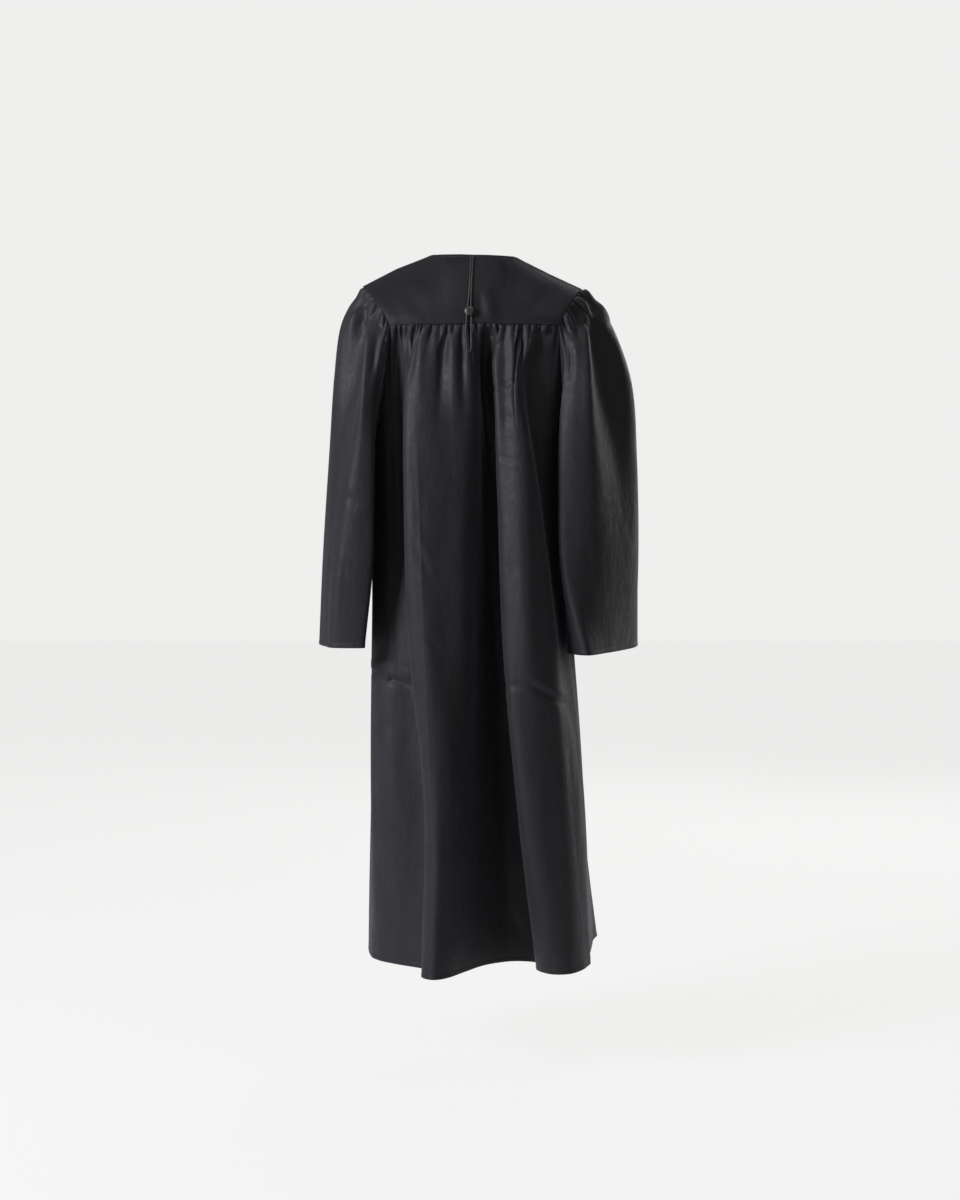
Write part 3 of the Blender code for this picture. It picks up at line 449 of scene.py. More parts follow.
# %% Body panels
BACK_GATHERS, FRONT_GATHERS = 26, 9
BACK_PER_GATHER, FRONT_PER_GATHER, SIDE_COLUMNS = 9, 12, 14
ALLOWANCE_COLUMNS = 4
ABOVE_HEM = 0.022
HEM_ROWS = np.array([0.016, 0.012, 0.0105, 0.009, 0.0075, 0.005, 0.0025, 0.0])


def body_panel(name, first, last, gather_first, gather_last, count, per_gather, seed, table):
    """A panel between two lines of the body, with gathers between two others."""
    seam_z = float(top_height(0.5 * (gather_first + gather_last)))
    x0, x1 = (float(body_point(u, seam_z)[0]) for u in (gather_first, gather_last))
    before = SIDE_COLUMNS if first < gather_first else 0
    after = SIDE_COLUMNS if last > gather_last else 0
    share = np.linspace(0.0, 1.0, count * per_gather + 1)
    uneven = 0.30 * np.sin(2.0 * np.pi * 3 * share + seed) + 0.26 * np.sin(2.0 * np.pi * 7 * share + 2.0 * seed)
    uneven = (uneven - uneven[0] * (1.0 - share) - uneven[-1] * share) / count
    even = share + uneven
    u = line_at(x0 + (x1 - x0) * even, gather_first, gather_last)
    number = share * count
    if before:
        u = np.concatenate([np.linspace(first, gather_first, before + 1)[:-1], u])
        number = np.concatenate([np.zeros(before), number])
    if after:
        u = np.concatenate([u, np.linspace(gather_last, last, after + 1)[1:]])
        number = np.concatenate([number, np.full(after, float(count))])
    top = top_height(u)
    allowance = np.zeros(len(u))
    if before and after:
        u = np.concatenate([[first - 0.030, first - 0.012], u, [last + 0.012, last + 0.030]])
        number = np.concatenate([[0.0, 0.0], number, [float(count)] * 2])
        top = np.concatenate([[top[0]] * 2, top, [top[-1]] * 2])
        allowance = np.concatenate([[0.0016, 0.0014], allowance, [0.0014, 0.0016]])
    distance = spaced([(-0.004, 0.004, 5), (0.004, 0.030, 14), (0.030, 0.100, 18)])
    low = spaced([(0.0, 0.17, 34), (0.17, 0.38, 20), (0.38, 0.56, 36), (0.56, 1.0, 34)])[1:]
    upper = top[None] - distance[:, None]
    foot = upper[-1]
    lower = foot[None] + (HEM_Z + ABOVE_HEM - foot)[None] * low[:, None]
    z = np.concatenate([upper, lower, np.repeat((HEM_Z + HEM_ROWS)[:, None], len(u), axis=1)])
    line = np.repeat(u[None], len(z), axis=0)
    grid = body_point(line, z)
    below = top[None] - z
    tuck = -0.0016 * np.clip(1.0 - below / 0.005, 0.0, 1.0) * ((number > 0.0) & (number < count))[None]
    wave = gathers(np.repeat(number[None], len(z), axis=0), np.maximum(below, 0.0), seed)
    wave *= ((number > 0.0) & (number < count))[None] * np.clip((below + 0.006) / 0.008, 0.0, 1.0)
    grid = grid + body_normal(line, z) * (wave + tuck - allowance[None])[..., None]
    drape = 0.0011 * np.sin(9.0 * grid[..., 2] + 1.9 * line + seed) * np.sin(2.6 * line + 3.0 * grid[..., 2])
    drape *= np.clip((below - 0.02) / 0.10, 0.0, 1.0)
    more = drape + creases(grid, table) * np.clip((below - 0.002) / 0.02, 0.0, 1.0)
    more += hem_line(grid[..., 2] - HEM_Z)
    grid = grid + outward(grid, False) * more[..., None]
    return cloth_piece(name, grid)


back_panel = body_panel("back_panel_cloth", 0, SIDE_RIGHT, CORNER_LEFT, CORNER_RIGHT, BACK_GATHERS,
                        BACK_PER_GATHER, 0.4, BACK_CREASES)
front_right = body_panel("front_right_cloth", SIDE_RIGHT, CENTRE, FRONT_RIGHT, CENTRE, FRONT_GATHERS,
                         FRONT_PER_GATHER, 1.9, FRONT_CREASES)
front_left = body_panel("front_left_cloth", CENTRE, COUNT, CENTRE, FRONT_LEFT, FRONT_GATHERS,
                        FRONT_PER_GATHER, 3.1, FRONT_CREASES)

# %% [markdown]
# The yokes are smooth and fitted. A yoke hangs from the neck and shoulder line, goes outward over the shoulder blade
# and then turns down to the gathered seam. It could be a bent plane, but one curve with a single turn for each column
# keeps its edges exactly on the neck line and on the seam.

# %% Upper edge of the yoke
YOKE_TOP = {
    "shoulder_point_left": (0.2095, -0.004, -0.058), "shoulder_left": (0.1470, -0.003, -0.026),
    "neck_point_left": (0.0810, 0.004, -0.001), "nape_left": (0.0480, 0.046, -0.004), "nape": (0.0040, 0.058, -0.006),
    "nape_right": (-0.0420, 0.047, -0.006), "neck_point_right": (-0.0740, 0.004, -0.004),
    "shoulder_right": (-0.1400, -0.003, -0.036), "shoulder_point_right": (-0.1990, -0.004, -0.063),
}
YOKE_STOPS = (0.0, 0.16, 0.315, 0.40, 0.50, 0.60, 0.69, 0.84, 1.0)
SHOULDER_GAP = 0.0006
NECK_WIDTH = YOKE_TOP["neck_point_left"][0] - YOKE_TOP["neck_point_right"][0]
print("neck opening", round(NECK_WIDTH, 3), "m wide")


def yoke_top(share):
    corners = np.array(list(YOKE_TOP.values()))
    point = np.stack([np.interp(share, YOKE_STOPS, corners[:, k]) for k in range(3)], axis=-1)
    i = np.clip(np.searchsorted(YOKE_STOPS, share) - 1, 0, 7)
    stops = np.array(YOKE_STOPS)
    t = (share - stops[i]) / (stops[i + 1] - stops[i])
    point[..., 1] += 0.006 * np.sin(np.pi * t) * ((i >= 2) & (i <= 5))
    return point


def soft_yoke_top(share, reach=0.034):
    """The same edge with its corners eased, as cloth over a shoulder is."""
    shifts = np.linspace(-1.0, 1.0, 9)
    room = np.minimum(reach, np.minimum(share, 1.0 - share))
    deep = sum(yoke_top(share + room * k) for k in shifts) / len(shifts)
    high = sum(yoke_top(share + 0.35 * room * k) for k in shifts) / len(shifts)
    return np.stack([high[..., 0], deep[..., 1], high[..., 2]], axis=-1)


# %% Surfaces of the yokes
def bend(top, foot, share, out, down):
    turn = np.stack([0.5 * (top[..., 0] + foot[..., 0]), top[..., 1] + (foot[..., 1] - top[..., 1]) * out,
                     top[..., 2] + (foot[..., 2] - top[..., 2]) * down], axis=-1)
    share = share[..., None]
    return top * (1 - share) ** 2 + turn * (2 * share * (1 - share)) + foot * share**2


def back_yoke(across, down):
    across, down = np.broadcast_arrays(np.asarray(across, float), np.asarray(down, float))
    x0, x1 = (float(body_point(u, BACK_SEAM_Z)[0]) for u in (CORNER_LEFT, CORNER_RIGHT))
    u = line_at(x0 + (x1 - x0) * across, CORNER_LEFT, CORNER_RIGHT)
    foot = body_point(u, top_height(u) + 2.0 * SEAM_GAP)
    return bend(soft_yoke_top(across), foot, down, 0.80, 0.30)


def front_yoke(side, across, down):
    across, down = np.broadcast_arrays(np.asarray(across, float), np.asarray(down, float))
    if side > 0:
        top, u = soft_yoke_top(0.315 * across), FRONT_LEFT + (CENTRE + 0.03 - FRONT_LEFT) * across
    else:
        top, u = soft_yoke_top(1.0 - 0.31 * across), FRONT_RIGHT + (CENTRE - 0.03 - FRONT_RIGHT) * across
    foot = body_point(u, top_height(u) + 2.0 * SEAM_GAP)
    return bend(top + np.array((0.0, -SHOULDER_GAP, -0.0001)), foot, down, 0.72, 0.34)


print("middle of the back yoke", [round(float(v), 3) for v in back_yoke(0.5, 0.5)])

# %% [markdown]
# Three small things make the yoke read as sewn cloth: the turned edge stands a little proud along the gathered seam,
# the neck edge has one row of stitches that pulls a faint dip, and the satin shows a few soft drag lines.

# %% Yokes
YOKE_COLUMNS, FRONT_YOKE_COLUMNS, YOKE_ROWS = 161, 81, 50
YOKE_WALL = 0.0011
YOKE_DRAGS = (
    ("button_dent", -0.018, -0.062, -0.032, -0.134, 0.0024, 0.0095),
    ("button_dent_shadow", -0.032, -0.058, -0.056, -0.132, -0.0012, 0.0100),
    ("button_dent_left", -0.006, -0.078, -0.012, -0.134, -0.0016, 0.0080),
    ("left_drag", 0.150, -0.050, 0.085, -0.125, -0.0012, 0.0120),
    ("left_drag_ridge", 0.130, -0.040, 0.060, -0.115, 0.0006, 0.0180),
    ("right_drag", -0.150, -0.060, -0.090, -0.122, -0.0014, 0.0120),
    ("left_corner", 0.150, -0.128, 0.112, -0.112, 0.0012, 0.0070),
    ("right_corner", -0.150, -0.130, -0.110, -0.116, 0.0014, 0.0070),
)


def yoke_piece(name, surface, columns, rows, drags):
    down = np.unique(np.concatenate([np.linspace(0.0, 1.0, rows), np.linspace(0.02, 0.07, 12),
                                     np.linspace(0.96, 1.0, 8)]))
    grid = surface(np.linspace(0.0, 1.0, columns)[None], down[:, None])
    drop = np.concatenate([np.zeros((1, columns)), np.cumsum(np.linalg.norm(np.diff(grid, axis=0), axis=-1), axis=0)])
    left = drop[-1][None] - drop
    more = creases(grid, drags) + 0.0007 * np.exp(-((left / 0.0030) ** 2))
    more += hem_line(drop, line=0.0065, depth=0.0005)
    return cloth_piece(name, grid + outward(grid, False, (0.0, 0.0)) * more[..., None], wall=YOKE_WALL)


yoke_back = yoke_piece("yoke_back_cloth", back_yoke, YOKE_COLUMNS, YOKE_ROWS, YOKE_DRAGS)
yoke_front_left = yoke_piece("yoke_front_left_cloth", lambda a, b: front_yoke(1, a, b), FRONT_YOKE_COLUMNS,
                             YOKE_ROWS, ())
yoke_front_right = yoke_piece("yoke_front_right_cloth", lambda a, b: front_yoke(-1, a, b), FRONT_YOKE_COLUMNS,
                              YOKE_ROWS, ())

# %% [markdown]
# The sleeves. A bell sleeve is a wide tube gathered into the armhole, so its head puffs out over the seam and a few
# gathers run on as long folds. Each row of the tables is a line down the sleeve, with X and Y at the head, upper arm,
# elbow, forearm and cuff. X is measured from the middle of the gown. A bent tube primitive would give the hang, but
# not the gathered head, so a sleeve is worked out as the body is, from lines.

# %% Lines of the sleeves
CUFF_Z = {"left": -0.727, "right": -0.736}
STATIONS = (0.0, 0.10, 0.25, 0.45, 0.72, 1.0)
SLEEVE_LINES = {
    "left": {
        "outer": ((0.249, -0.015), (0.265, -0.025), (0.2755, -0.030), (0.2865, -0.030), (0.2940, -0.030)),
        "outer_back": ((0.243, 0.025), (0.257, 0.018), (0.268, 0.018), (0.281, 0.016), (0.287, 0.022)),
        "trough": ((0.215, 0.050), (0.225, 0.050), (0.246, 0.060), (0.266, 0.062), (0.275, 0.056)),
        "ridge": ((0.194, 0.105), (0.208, 0.119), (0.222, 0.114), (0.243, 0.105), (0.260, 0.088)),
        "back_corner": ((0.168, 0.110), (0.181, 0.112), (0.185, 0.110), (0.188, 0.105), (0.205, 0.096)),
        "inner_back": ((0.192, 0.064), (0.1975, 0.066), (0.199, 0.064), (0.201, 0.060), (0.210, 0.052)),
        "inner": ((0.1985, 0.000), (0.202, 0.000), (0.203, 0.000), (0.205, 0.000), (0.214, 0.000)),
        "inner_front": ((0.196, -0.056), (0.201, -0.062), (0.203, -0.064), (0.206, -0.064), (0.215, -0.064)),
        "front_corner": ((0.176, -0.104), (0.193, -0.118), (0.205, -0.130), (0.214, -0.140), (0.222, -0.146)),
        "front_ridge": ((0.198, -0.104), (0.216, -0.126), (0.232, -0.146), (0.243, -0.162), (0.251, -0.172)),
        "front_trough": ((0.225, -0.076), (0.243, -0.098), (0.257, -0.114), (0.269, -0.126), (0.277, -0.132)),
        "outer_front": ((0.243, -0.048), (0.260, -0.064), (0.272, -0.075), (0.283, -0.081), (0.290, -0.086)),
    },
    "right": {
        "outer": ((0.257, -0.018), (0.2915, -0.030), (0.3030, -0.042), (0.3095, -0.060), (0.3110, -0.100)),
        "outer_back": ((0.250, 0.022), (0.284, 0.012), (0.297, 0.002), (0.304, -0.008), (0.302, -0.050)),
        "trough": ((0.221, 0.043), (0.239, 0.042), (0.260, 0.048), (0.276, 0.048), (0.277, 0.010)),
        "ridge": ((0.200, 0.106), (0.211, 0.124), (0.216, 0.125), (0.222, 0.124), (0.244, 0.088)),
        "back_corner": ((0.163, 0.108), (0.157, 0.118), (0.155, 0.125), (0.161, 0.142), (0.203, 0.158)),
        "inner_back": ((0.169, 0.060), (0.165, 0.070), (0.165, 0.080), (0.165, 0.095), (0.171, 0.100)),
        "inner": ((0.177, 0.000), (0.174, 0.000), (0.176, 0.000), (0.184, 0.010), (0.187, 0.040)),
        "inner_front": ((0.178, -0.056), (0.177, -0.062), (0.180, -0.066), (0.188, -0.064), (0.192, -0.050)),
        "front_corner": ((0.170, -0.104), (0.182, -0.118), (0.192, -0.132), (0.203, -0.144), (0.210, -0.152)),
        "front_ridge": ((0.198, -0.104), (0.218, -0.128), (0.238, -0.152), (0.254, -0.176), (0.264, -0.200)),
        "front_trough": ((0.230, -0.076), (0.260, -0.100), (0.280, -0.122), (0.294, -0.146), (0.301, -0.186)),
        "outer_front": ((0.249, -0.048), (0.284, -0.068), (0.297, -0.086), (0.307, -0.104), (0.312, -0.150)),
    },
}
print(len(SLEEVE_LINES["left"]), "lines down each sleeve")

# %% [markdown]
# The sleeve starts just inside the edge that it is sewn to: the yoke's side edge above, and the armhole of the back
# and front below. The turn round that edge runs 0 to 1, from the shoulder point down the back and up the front.


# %% Armhole
def armhole(side, turn):
    """The edge that a sleeve is sewn to, and the way out of it, at each turn round it."""
    turn = np.asarray(turn, float) % 1.0
    quarter = np.minimum((turn * 4.0).astype(int), 3)
    t = turn * 4.0 - quarter
    edge = np.zeros_like(t) if side > 0 else np.ones_like(t)
    step = 0.02
    spots = []
    for shift in (-step, 0.0, step):
        s = np.clip(t + shift, 0.0, 1.0)
        u_back = (1.0 - s) * CORNER_LEFT if side > 0 else CORNER_RIGHT + (SIDE_RIGHT - CORNER_RIGHT) * s
        u_front = COUNT - 1e-6 + (FRONT_LEFT - COUNT) * s if side > 0 else SIDE_RIGHT + (FRONT_RIGHT - SIDE_RIGHT) * s
        ways = (back_yoke(edge, s), body_point(u_back, top_height(u_back)), body_point(u_front, top_height(u_front)),
                front_yoke(side, np.zeros_like(s), 1.0 - s))
        spots.append(np.choose(quarter[..., None], ways))
        if shift == 0.0:
            inner = 0.02 if side > 0 else -0.02
            ways_in = (back_yoke(edge + inner, s), None, None, front_yoke(side, np.zeros_like(s) + 0.02, 1.0 - s))
            sideways_back = body_normal(u_back, top_height(u_back))
            sideways_front = body_normal(u_front, top_height(u_front))
    run = spots[2] - spots[0]
    past_top = np.choose(quarter[..., None] // 3, (ways[0] - ways_in[0], ways[3] - ways_in[3]))
    out_top = np.cross(run, past_top)
    out_top /= np.maximum(np.linalg.norm(out_top, axis=-1, keepdims=True), 1e-12)
    lift = (out_top * (spots[1] - np.array((0.0, 0.0, -0.2)))).sum(axis=-1, keepdims=True)
    out_top = np.where(lift > 0, out_top, -out_top)
    out = np.choose(quarter[..., None], (out_top, sideways_back, sideways_front, out_top))
    return spots[1], out


armhole_edge = armhole(1, np.linspace(0.0, 0.999, 200))[0]
print("left armhole", round(float(np.linalg.norm(np.diff(armhole_edge, axis=0), axis=1).sum()), 3), "m round")

# %% Sleeves
SLEEVE_GATHERS, SLEEVE_PER_GATHER, UNDERARM_COLUMNS = 14, 11, 64
SLEEVE_PUFF = 0.001
SLEEVE_SETTLE = 0.0046
SLEEVE_ROWS = 86


def sleeve(side_name, seed, head, drags):
    """A sleeve from the armhole to the cuff. head is how far its gathered top stands up over the shoulder."""
    side = 1 if side_name == "left" else -1
    table = np.array([[(side * x, y) for x, y in row] for row in SLEEVE_LINES[side_name].values()])
    lines, cuff_z = len(table), CUFF_Z[side_name]
    quarter = SLEEVE_PER_GATHER * SLEEVE_GATHERS // 2
    w = np.concatenate([np.linspace(0, 4, quarter + 1)[:-1], np.linspace(4, 8, UNDERARM_COLUMNS + 1)[:-1],
                        np.linspace(8, 12, quarter + 1)[:-1]])
    turn = np.interp(w, (0, 4, 8, 12), (0, 0.25, 0.75, 1.0))
    number = np.where(w <= 4, w / 4 * SLEEVE_GATHERS / 2, np.where(w >= 8, (w - 12) / 4 * SLEEVE_GATHERS / 2, 0.0))
    gathered = (w < 4) | (w > 8)
    edge, out = armhole(side, turn)
    i = np.floor(w).astype(int)

    def across(k):
        p = [table[(i + j) % lines, k] for j in (-1, 0, 1, 2)]
        return hermite(p[1], p[2], held_slope(p[0], p[1], p[2]), held_slope(p[1], p[2], p[3]), (w - i)[:, None])

    stations = np.stack([edge[:, :2]] + [across(k) for k in range(5)], axis=1)
    long = edge[:, 2] - cuff_z
    start = spaced([(0.0, 0.006, 5), (0.006, 0.100, 26)])
    low = np.linspace(0.0, 1.0, SLEEVE_ROWS)[1:]
    near = start[:, None] / long[None]
    s = np.concatenate([near, near[-1][None] + (1 - ABOVE_HEM / long - near[-1])[None] * low[:, None],
                        1 - HEM_ROWS[:, None] / long[None]])
    rows = np.repeat(np.arange(len(w))[None], len(s), axis=0)
    xy = along(stations, STATIONS, rows, s)
    z = edge[None, :, 2] + (cuff_z - edge[:, 2])[None] * s
    grid = np.concatenate([xy, z[..., None]], axis=-1)
    top = np.clip(1.0 - np.abs(turn - np.round(turn)) / 0.25, 0.0, 1.0)
    swell = SLEEVE_PUFF * np.sin(np.pi * np.clip(s / 0.16, 0.0, 1.0)) * np.minimum(1.0, 1.6 * top)[None]
    down = s * long[None]
    swell = swell + head * np.sin(np.pi * np.clip(down / 0.060, 0.0, 1.0)) ** 0.7 * (top**1.5)[None]
    grid = grid + (out * 0.6 + np.array((side * 0.6, 0.0, 0.25)))[None] * swell[..., None]
    under_arm = np.clip((np.abs(turn - np.round(turn)) - 0.22) / 0.06, 0.0, 1.0)
    clear = np.exp(-down / 0.02) * (0.0013 * under_arm)[None] - 0.0013 * np.exp(-down / 0.002) * (1 - under_arm)[None]
    grid = grid + out[None] * clear[..., None]
    centre = (float(grid[..., 0].mean()), float(grid[..., 1].mean()))
    facing = outward(grid, True, centre)
    wave = gathers(np.repeat(number[None], len(s), axis=0), down, seed, reach=0.125) * gathered[None]
    wave *= np.clip(down / 0.004, 0.15, 1.0)
    wave *= np.clip(np.minimum(np.abs(w - 4), np.abs(w - 8)) / 0.4, 0.0, 1.0)[None]
    back = np.clip(grid[..., 1] / 0.03 + 0.5, 0.0, 1.0)
    front = 1.0 - back
    settle = SLEEVE_SETTLE * np.clip(1.0 - (down - 0.01) / 0.16, 0.0, 1.0) * np.clip(down / 0.02, 0.0, 1.0)
    more = wave * (1.15 + 0.35 * np.clip(1.0 - down / 0.05, 0.0, 1.0)) - settle * gathered[None]
    more = more + creases(grid, drags["back"]) * back + creases(grid, drags["front"]) * front
    waves = 2.0 * np.pi * 4 * w[None] / lines
    more += 0.0012 * np.sin(7.0 * grid[..., 2] + waves + seed) * np.clip((down - 0.05) / 0.1, 0.0, 1.0)
    more += hem_line(down.max(axis=0)[None] - down)
    return cloth_piece("sleeve_%s_cloth" % side_name, grid + facing * more[..., None], True, centre)


LEFT_SLEEVE_CREASES = {
    "back": (
        ("hung_ridge", 0.192, -0.110, 0.213, -0.400, 0.0085, 0.0070),
        ("hung_trough", 0.208, -0.090, 0.228, -0.400, -0.0105, 0.0085),
        ("hung_outer_ridge", 0.222, -0.090, 0.246, -0.260, 0.0036, 0.0090),
        ("second_gather", 0.178, -0.150, 0.186, -0.235, -0.0040, 0.0060),
        ("elbow_drag", 0.262, -0.420, 0.210, -0.470, -0.0026, 0.0090),
        ("elbow_drag_ridge", 0.266, -0.404, 0.214, -0.452, 0.0016, 0.0110),
        ("forearm_drag", 0.276, -0.560, 0.232, -0.592, -0.0022, 0.0080),
        ("hung_lit_edge", 0.2440, -0.560, 0.2560, -0.700, 0.0022, 0.0060),
    ),
    "front": (
        ("hung_ridge", 0.196, -0.130, 0.214, -0.320, 0.0050, 0.0080),
        ("elbow_drag", 0.262, -0.400, 0.215, -0.450, -0.0026, 0.0100),
        ("wrist_drag", 0.270, -0.620, 0.235, -0.650, -0.0018, 0.0100),
    ),
}
RIGHT_SLEEVE_CREASES = {
    "back": (
        ("hung_ridge", -0.203, -0.090, -0.206, -0.400, 0.0070, 0.0090),
        ("hung_trough", -0.222, -0.100, -0.236, -0.420, -0.0070, 0.0120),
        ("outer_ridge", -0.262, -0.150, -0.285, -0.400, 0.0036, 0.0120),
        ("second_gather", -0.172, -0.160, -0.174, -0.240, -0.0040, 0.0060),
        ("elbow_fine_1", -0.214, -0.453, -0.262, -0.436, -0.0016, 0.0040),
        ("elbow_fine_2", -0.212, -0.478, -0.258, -0.460, -0.0016, 0.0040),
        ("elbow_fine_3", -0.218, -0.508, -0.252, -0.489, -0.0014, 0.0040),
        ("elbow_fine_ridge", -0.214, -0.465, -0.260, -0.448, 0.0014, 0.0050),
        ("inner_dent", -0.196, -0.540, -0.222, -0.590, -0.0016, 0.0080),
        ("wrist_drag", -0.236, -0.640, -0.290, -0.620, -0.0014, 0.0100),
    ),
    "front": (
        ("hung_ridge", -0.200, -0.130, -0.222, -0.330, 0.0050, 0.0080),
        ("elbow_drag", -0.285, -0.400, -0.225, -0.450, -0.0026, 0.0100),
        ("wrist_drag", -0.300, -0.640, -0.250, -0.660, -0.0018, 0.0100),
    ),
}
sleeve_left = sleeve("left", 0.7, 0.0, LEFT_SLEEVE_CREASES)
sleeve_right = sleeve("right", 2.2, 0.0080, RIGHT_SLEEVE_CREASES)

# %% [markdown]
# The placket is the plain strip over the front closing. It could be a strip of its own, but taking its points from
# the surface of the fronts keeps it three millimetres outside them, and a little more at the gathers under the yoke.

# %% Placket
PLACKET_FOOT_Z = -1.191


def placket():
    reach = 0.017
    top = float(top_height(CENTRE))
    z = np.concatenate([[top - 0.004], np.linspace(top - 0.01, PLACKET_FOOT_Z, 150)])
    x = np.linspace(-reach, reach, 17)
    u, height = np.meshgrid(CENTRE + x / 0.040, z)
    lift = 0.0026 + 0.0031 * np.clip(1.0 - (top - height) / 0.075, 0.0, 1.0)
    lift = lift - 0.0004 * np.exp(-(((np.abs(x) - 0.012) / 0.0012) ** 2))[None]
    return cloth_piece("front_placket_cloth", body_point(u, height) + body_normal(u, height) * lift[..., None])


front_placket = placket()

# %% [markdown]
# The hood button. A covered button is a domed shell with cloth pulled over it and tucked in at the back. It starts as
# a cylinder: its top face is inset and lifted into a dome, its rim is bevelled, and a short shank is extruded below.
# A plain dome would look moulded, so the insets keep the slight flat on top that stretched cloth has.

# %% Where the button sits
BUTTON_RADIUS = 0.009
BUTTON_AT = (0.0107, -0.1143)
CORD_RADIUS = 0.0013


def yoke_spot(x, z):
    """The point of the back yoke at a given X and height, and the way out of it."""
    a, b = np.meshgrid(np.linspace(0.4, 0.6, 161), np.linspace(0.0, 1.0, 401))
    grid = back_yoke(a, b)
    facing = outward(grid, False)
    best = np.argmin((grid[..., 0] - x) ** 2 + (grid[..., 2] - z) ** 2)
    return Vector(grid.reshape(-1, 3)[best]), Vector(facing.reshape(-1, 3)[best])


button_seat, button_out = yoke_spot(*BUTTON_AT)
print("button seat", [round(v, 4) for v in button_seat])


# %% Button
def new_primitive(add, **settings):
    """Adds one primitive with everything else deselected, because an operator acts on all that is selected."""
    if bpy.context.mode != "OBJECT":
        bpy.ops.object.mode_set(mode="OBJECT")
    bpy.ops.object.select_all(action="DESELECT")
    add(**settings)
    return bpy.context.active_object


SHANK_SUNK, CORD_ROOM = 0.0013, 0.0014
under = SHANK_SUNK + 2.0 * CORD_RADIUS + CORD_ROOM
button = new_primitive(bpy.ops.mesh.primitive_cylinder_add, vertices=40, radius=BUTTON_RADIUS * 0.94, depth=0.0022,
                       location=(0.0, 0.0, under + 0.0011))
button.name = button.data.name = "hood_button_covered"
bpy.ops.object.transform_apply(location=True, rotation=True, scale=True)
bpy.ops.object.mode_set(mode="EDIT")
bpy.ops.mesh.select_all(action="DESELECT")
shape = bmesh.from_edit_mesh(button.data)
for face in shape.faces:
    face.select = face.normal.z > 0.9
bmesh.update_edit_mesh(button.data)
for thickness, lift in ((0.0014, 0.0009), (0.0020, 0.0007), (0.0024, 0.0003)):
    bpy.ops.mesh.inset(thickness=thickness)
    bpy.ops.transform.translate(value=(0.0, 0.0, lift))
bpy.ops.mesh.select_all(action="DESELECT")
shape = bmesh.from_edit_mesh(button.data)
for face in shape.faces:
    face.select = face.normal.z < -0.9
bmesh.update_edit_mesh(button.data)
bpy.ops.mesh.inset(thickness=0.0012)
bpy.ops.transform.translate(value=(0.0, 0.0, 0.0004))
bpy.ops.mesh.inset(thickness=0.0053)
bpy.ops.mesh.extrude_region_move(TRANSFORM_OT_translate={"value": (0.0, 0.0, SHANK_SUNK - under - 0.0004)})
bpy.ops.object.mode_set(mode="OBJECT")
rim = button.modifiers.new("rim", "BEVEL")
rim.width, rim.segments, rim.limit_method, rim.angle_limit = 0.0004, 3, "ANGLE", math.radians(40)
bpy.ops.object.modifier_apply(modifier="rim")
dome = button.modifiers.new("dome", "SUBSURF")
dome.levels = dome.render_levels = 2
bpy.ops.object.modifier_apply(modifier="dome")
turn_to = button_out.to_track_quat("Z", "Y").to_matrix().to_4x4()
turn_to.translation = button_seat
button.data.transform(turn_to)
button.data.shade_smooth()
print("button", len(button.data.polygons), "faces")

# %% [markdown]
# The hood cord is a loop of thin braided cord. Both ends are sewn into the neck seam. The strands run down side by
# side, pass the button's shank, and hang below it in a narrow loop. It could be a swept mesh, but one curve with a
# round bevel is simpler, and its length can be measured. Each row of the table is a height on the way down, with the
# middle of the two strands and half their distance.


# %% Hood cord
def hood_cord():
    stand = 0.0009 + CORD_RADIUS + 0.0005
    strands = np.array((
        (0.0095, 0.0057, 0.0017), (0.0300, 0.0066, 0.0017), (0.0700, 0.0086, 0.0017), (0.0980, 0.0101, 0.0026),
        (0.1143, 0.0107, 0.0040), (0.1290, 0.0113, 0.0042), (0.1550, 0.0122, 0.0052), (0.1814, 0.0128, 0.0057),
    ))
    a, b = np.meshgrid(np.linspace(0.42, 0.56, 57), np.linspace(0.0, 1.0, 401))
    cloth_grid = back_yoke(a, b)
    facing = outward(cloth_grid, False)
    drop = np.linspace(strands[0, 0], strands[-1, 0], 53)
    table = strands[None, :, 1:]
    middle = along(table, strands[:, 0], np.zeros(len(drop), int), drop)
    depth = []
    for x, d in zip(middle[:, 0], drop):
        if -d > BACK_SEAM_Z + 0.004:
            best = np.argmin((cloth_grid[..., 0] - x) ** 2 + (cloth_grid[..., 2] + d) ** 2)
            y = cloth_grid.reshape(-1, 3)[best][1] + stand / max(facing.reshape(-1, 3)[best][1], 0.4)
        else:
            u = float(line_at(x, CORNER_LEFT, CORNER_RIGHT))
            y = max(float(body_point(u, -d)[1]), 0.1190) + stand + 1.15 * 0.0031
        depth.append(y)
    for _ in range(6):
        depth = [depth[0]] + [max(depth[k], 0.25 * depth[k - 1] + 0.5 * depth[k] + 0.25 * depth[k + 1])
                              for k in range(1, len(depth) - 1)] + [depth[-1]]
    down = [(x + gap, y, -d) for (x, gap), y, d in zip(middle, depth, drop)]
    up = [(x - gap, y, -d) for (x, gap), y, d in zip(middle, depth, drop)][::-1]
    x, gap = middle[-1]
    low = [(x + gap * math.cos(math.pi * k / 16), depth[-1], -drop[-1] - gap * math.sin(math.pi * k / 16))
           for k in range(1, 16)]
    route = down + low + up
    curve = bpy.data.curves.new("hood_cord_braid", "CURVE")
    curve.dimensions = "3D"
    line = curve.splines.new("POLY")
    line.points.add(len(route) - 1)
    for spot, p in zip(line.points, route):
        spot.co = (*[float(v) for v in p], 1.0)
    curve.bevel_depth = CORD_RADIUS
    curve.bevel_resolution = 3
    curve.use_fill_caps = True
    piece = bpy.data.objects.new("hood_cord_braid", curve)
    bpy.context.scene.collection.objects.link(piece)
    length = sum(math.dist(p, q) for p, q in zip(route[:-1], route[1:]))
    return piece, length, route[0]


cord_piece, cord_length, cord_exit = hood_cord()
print("cord", round(cord_length, 3), "m")

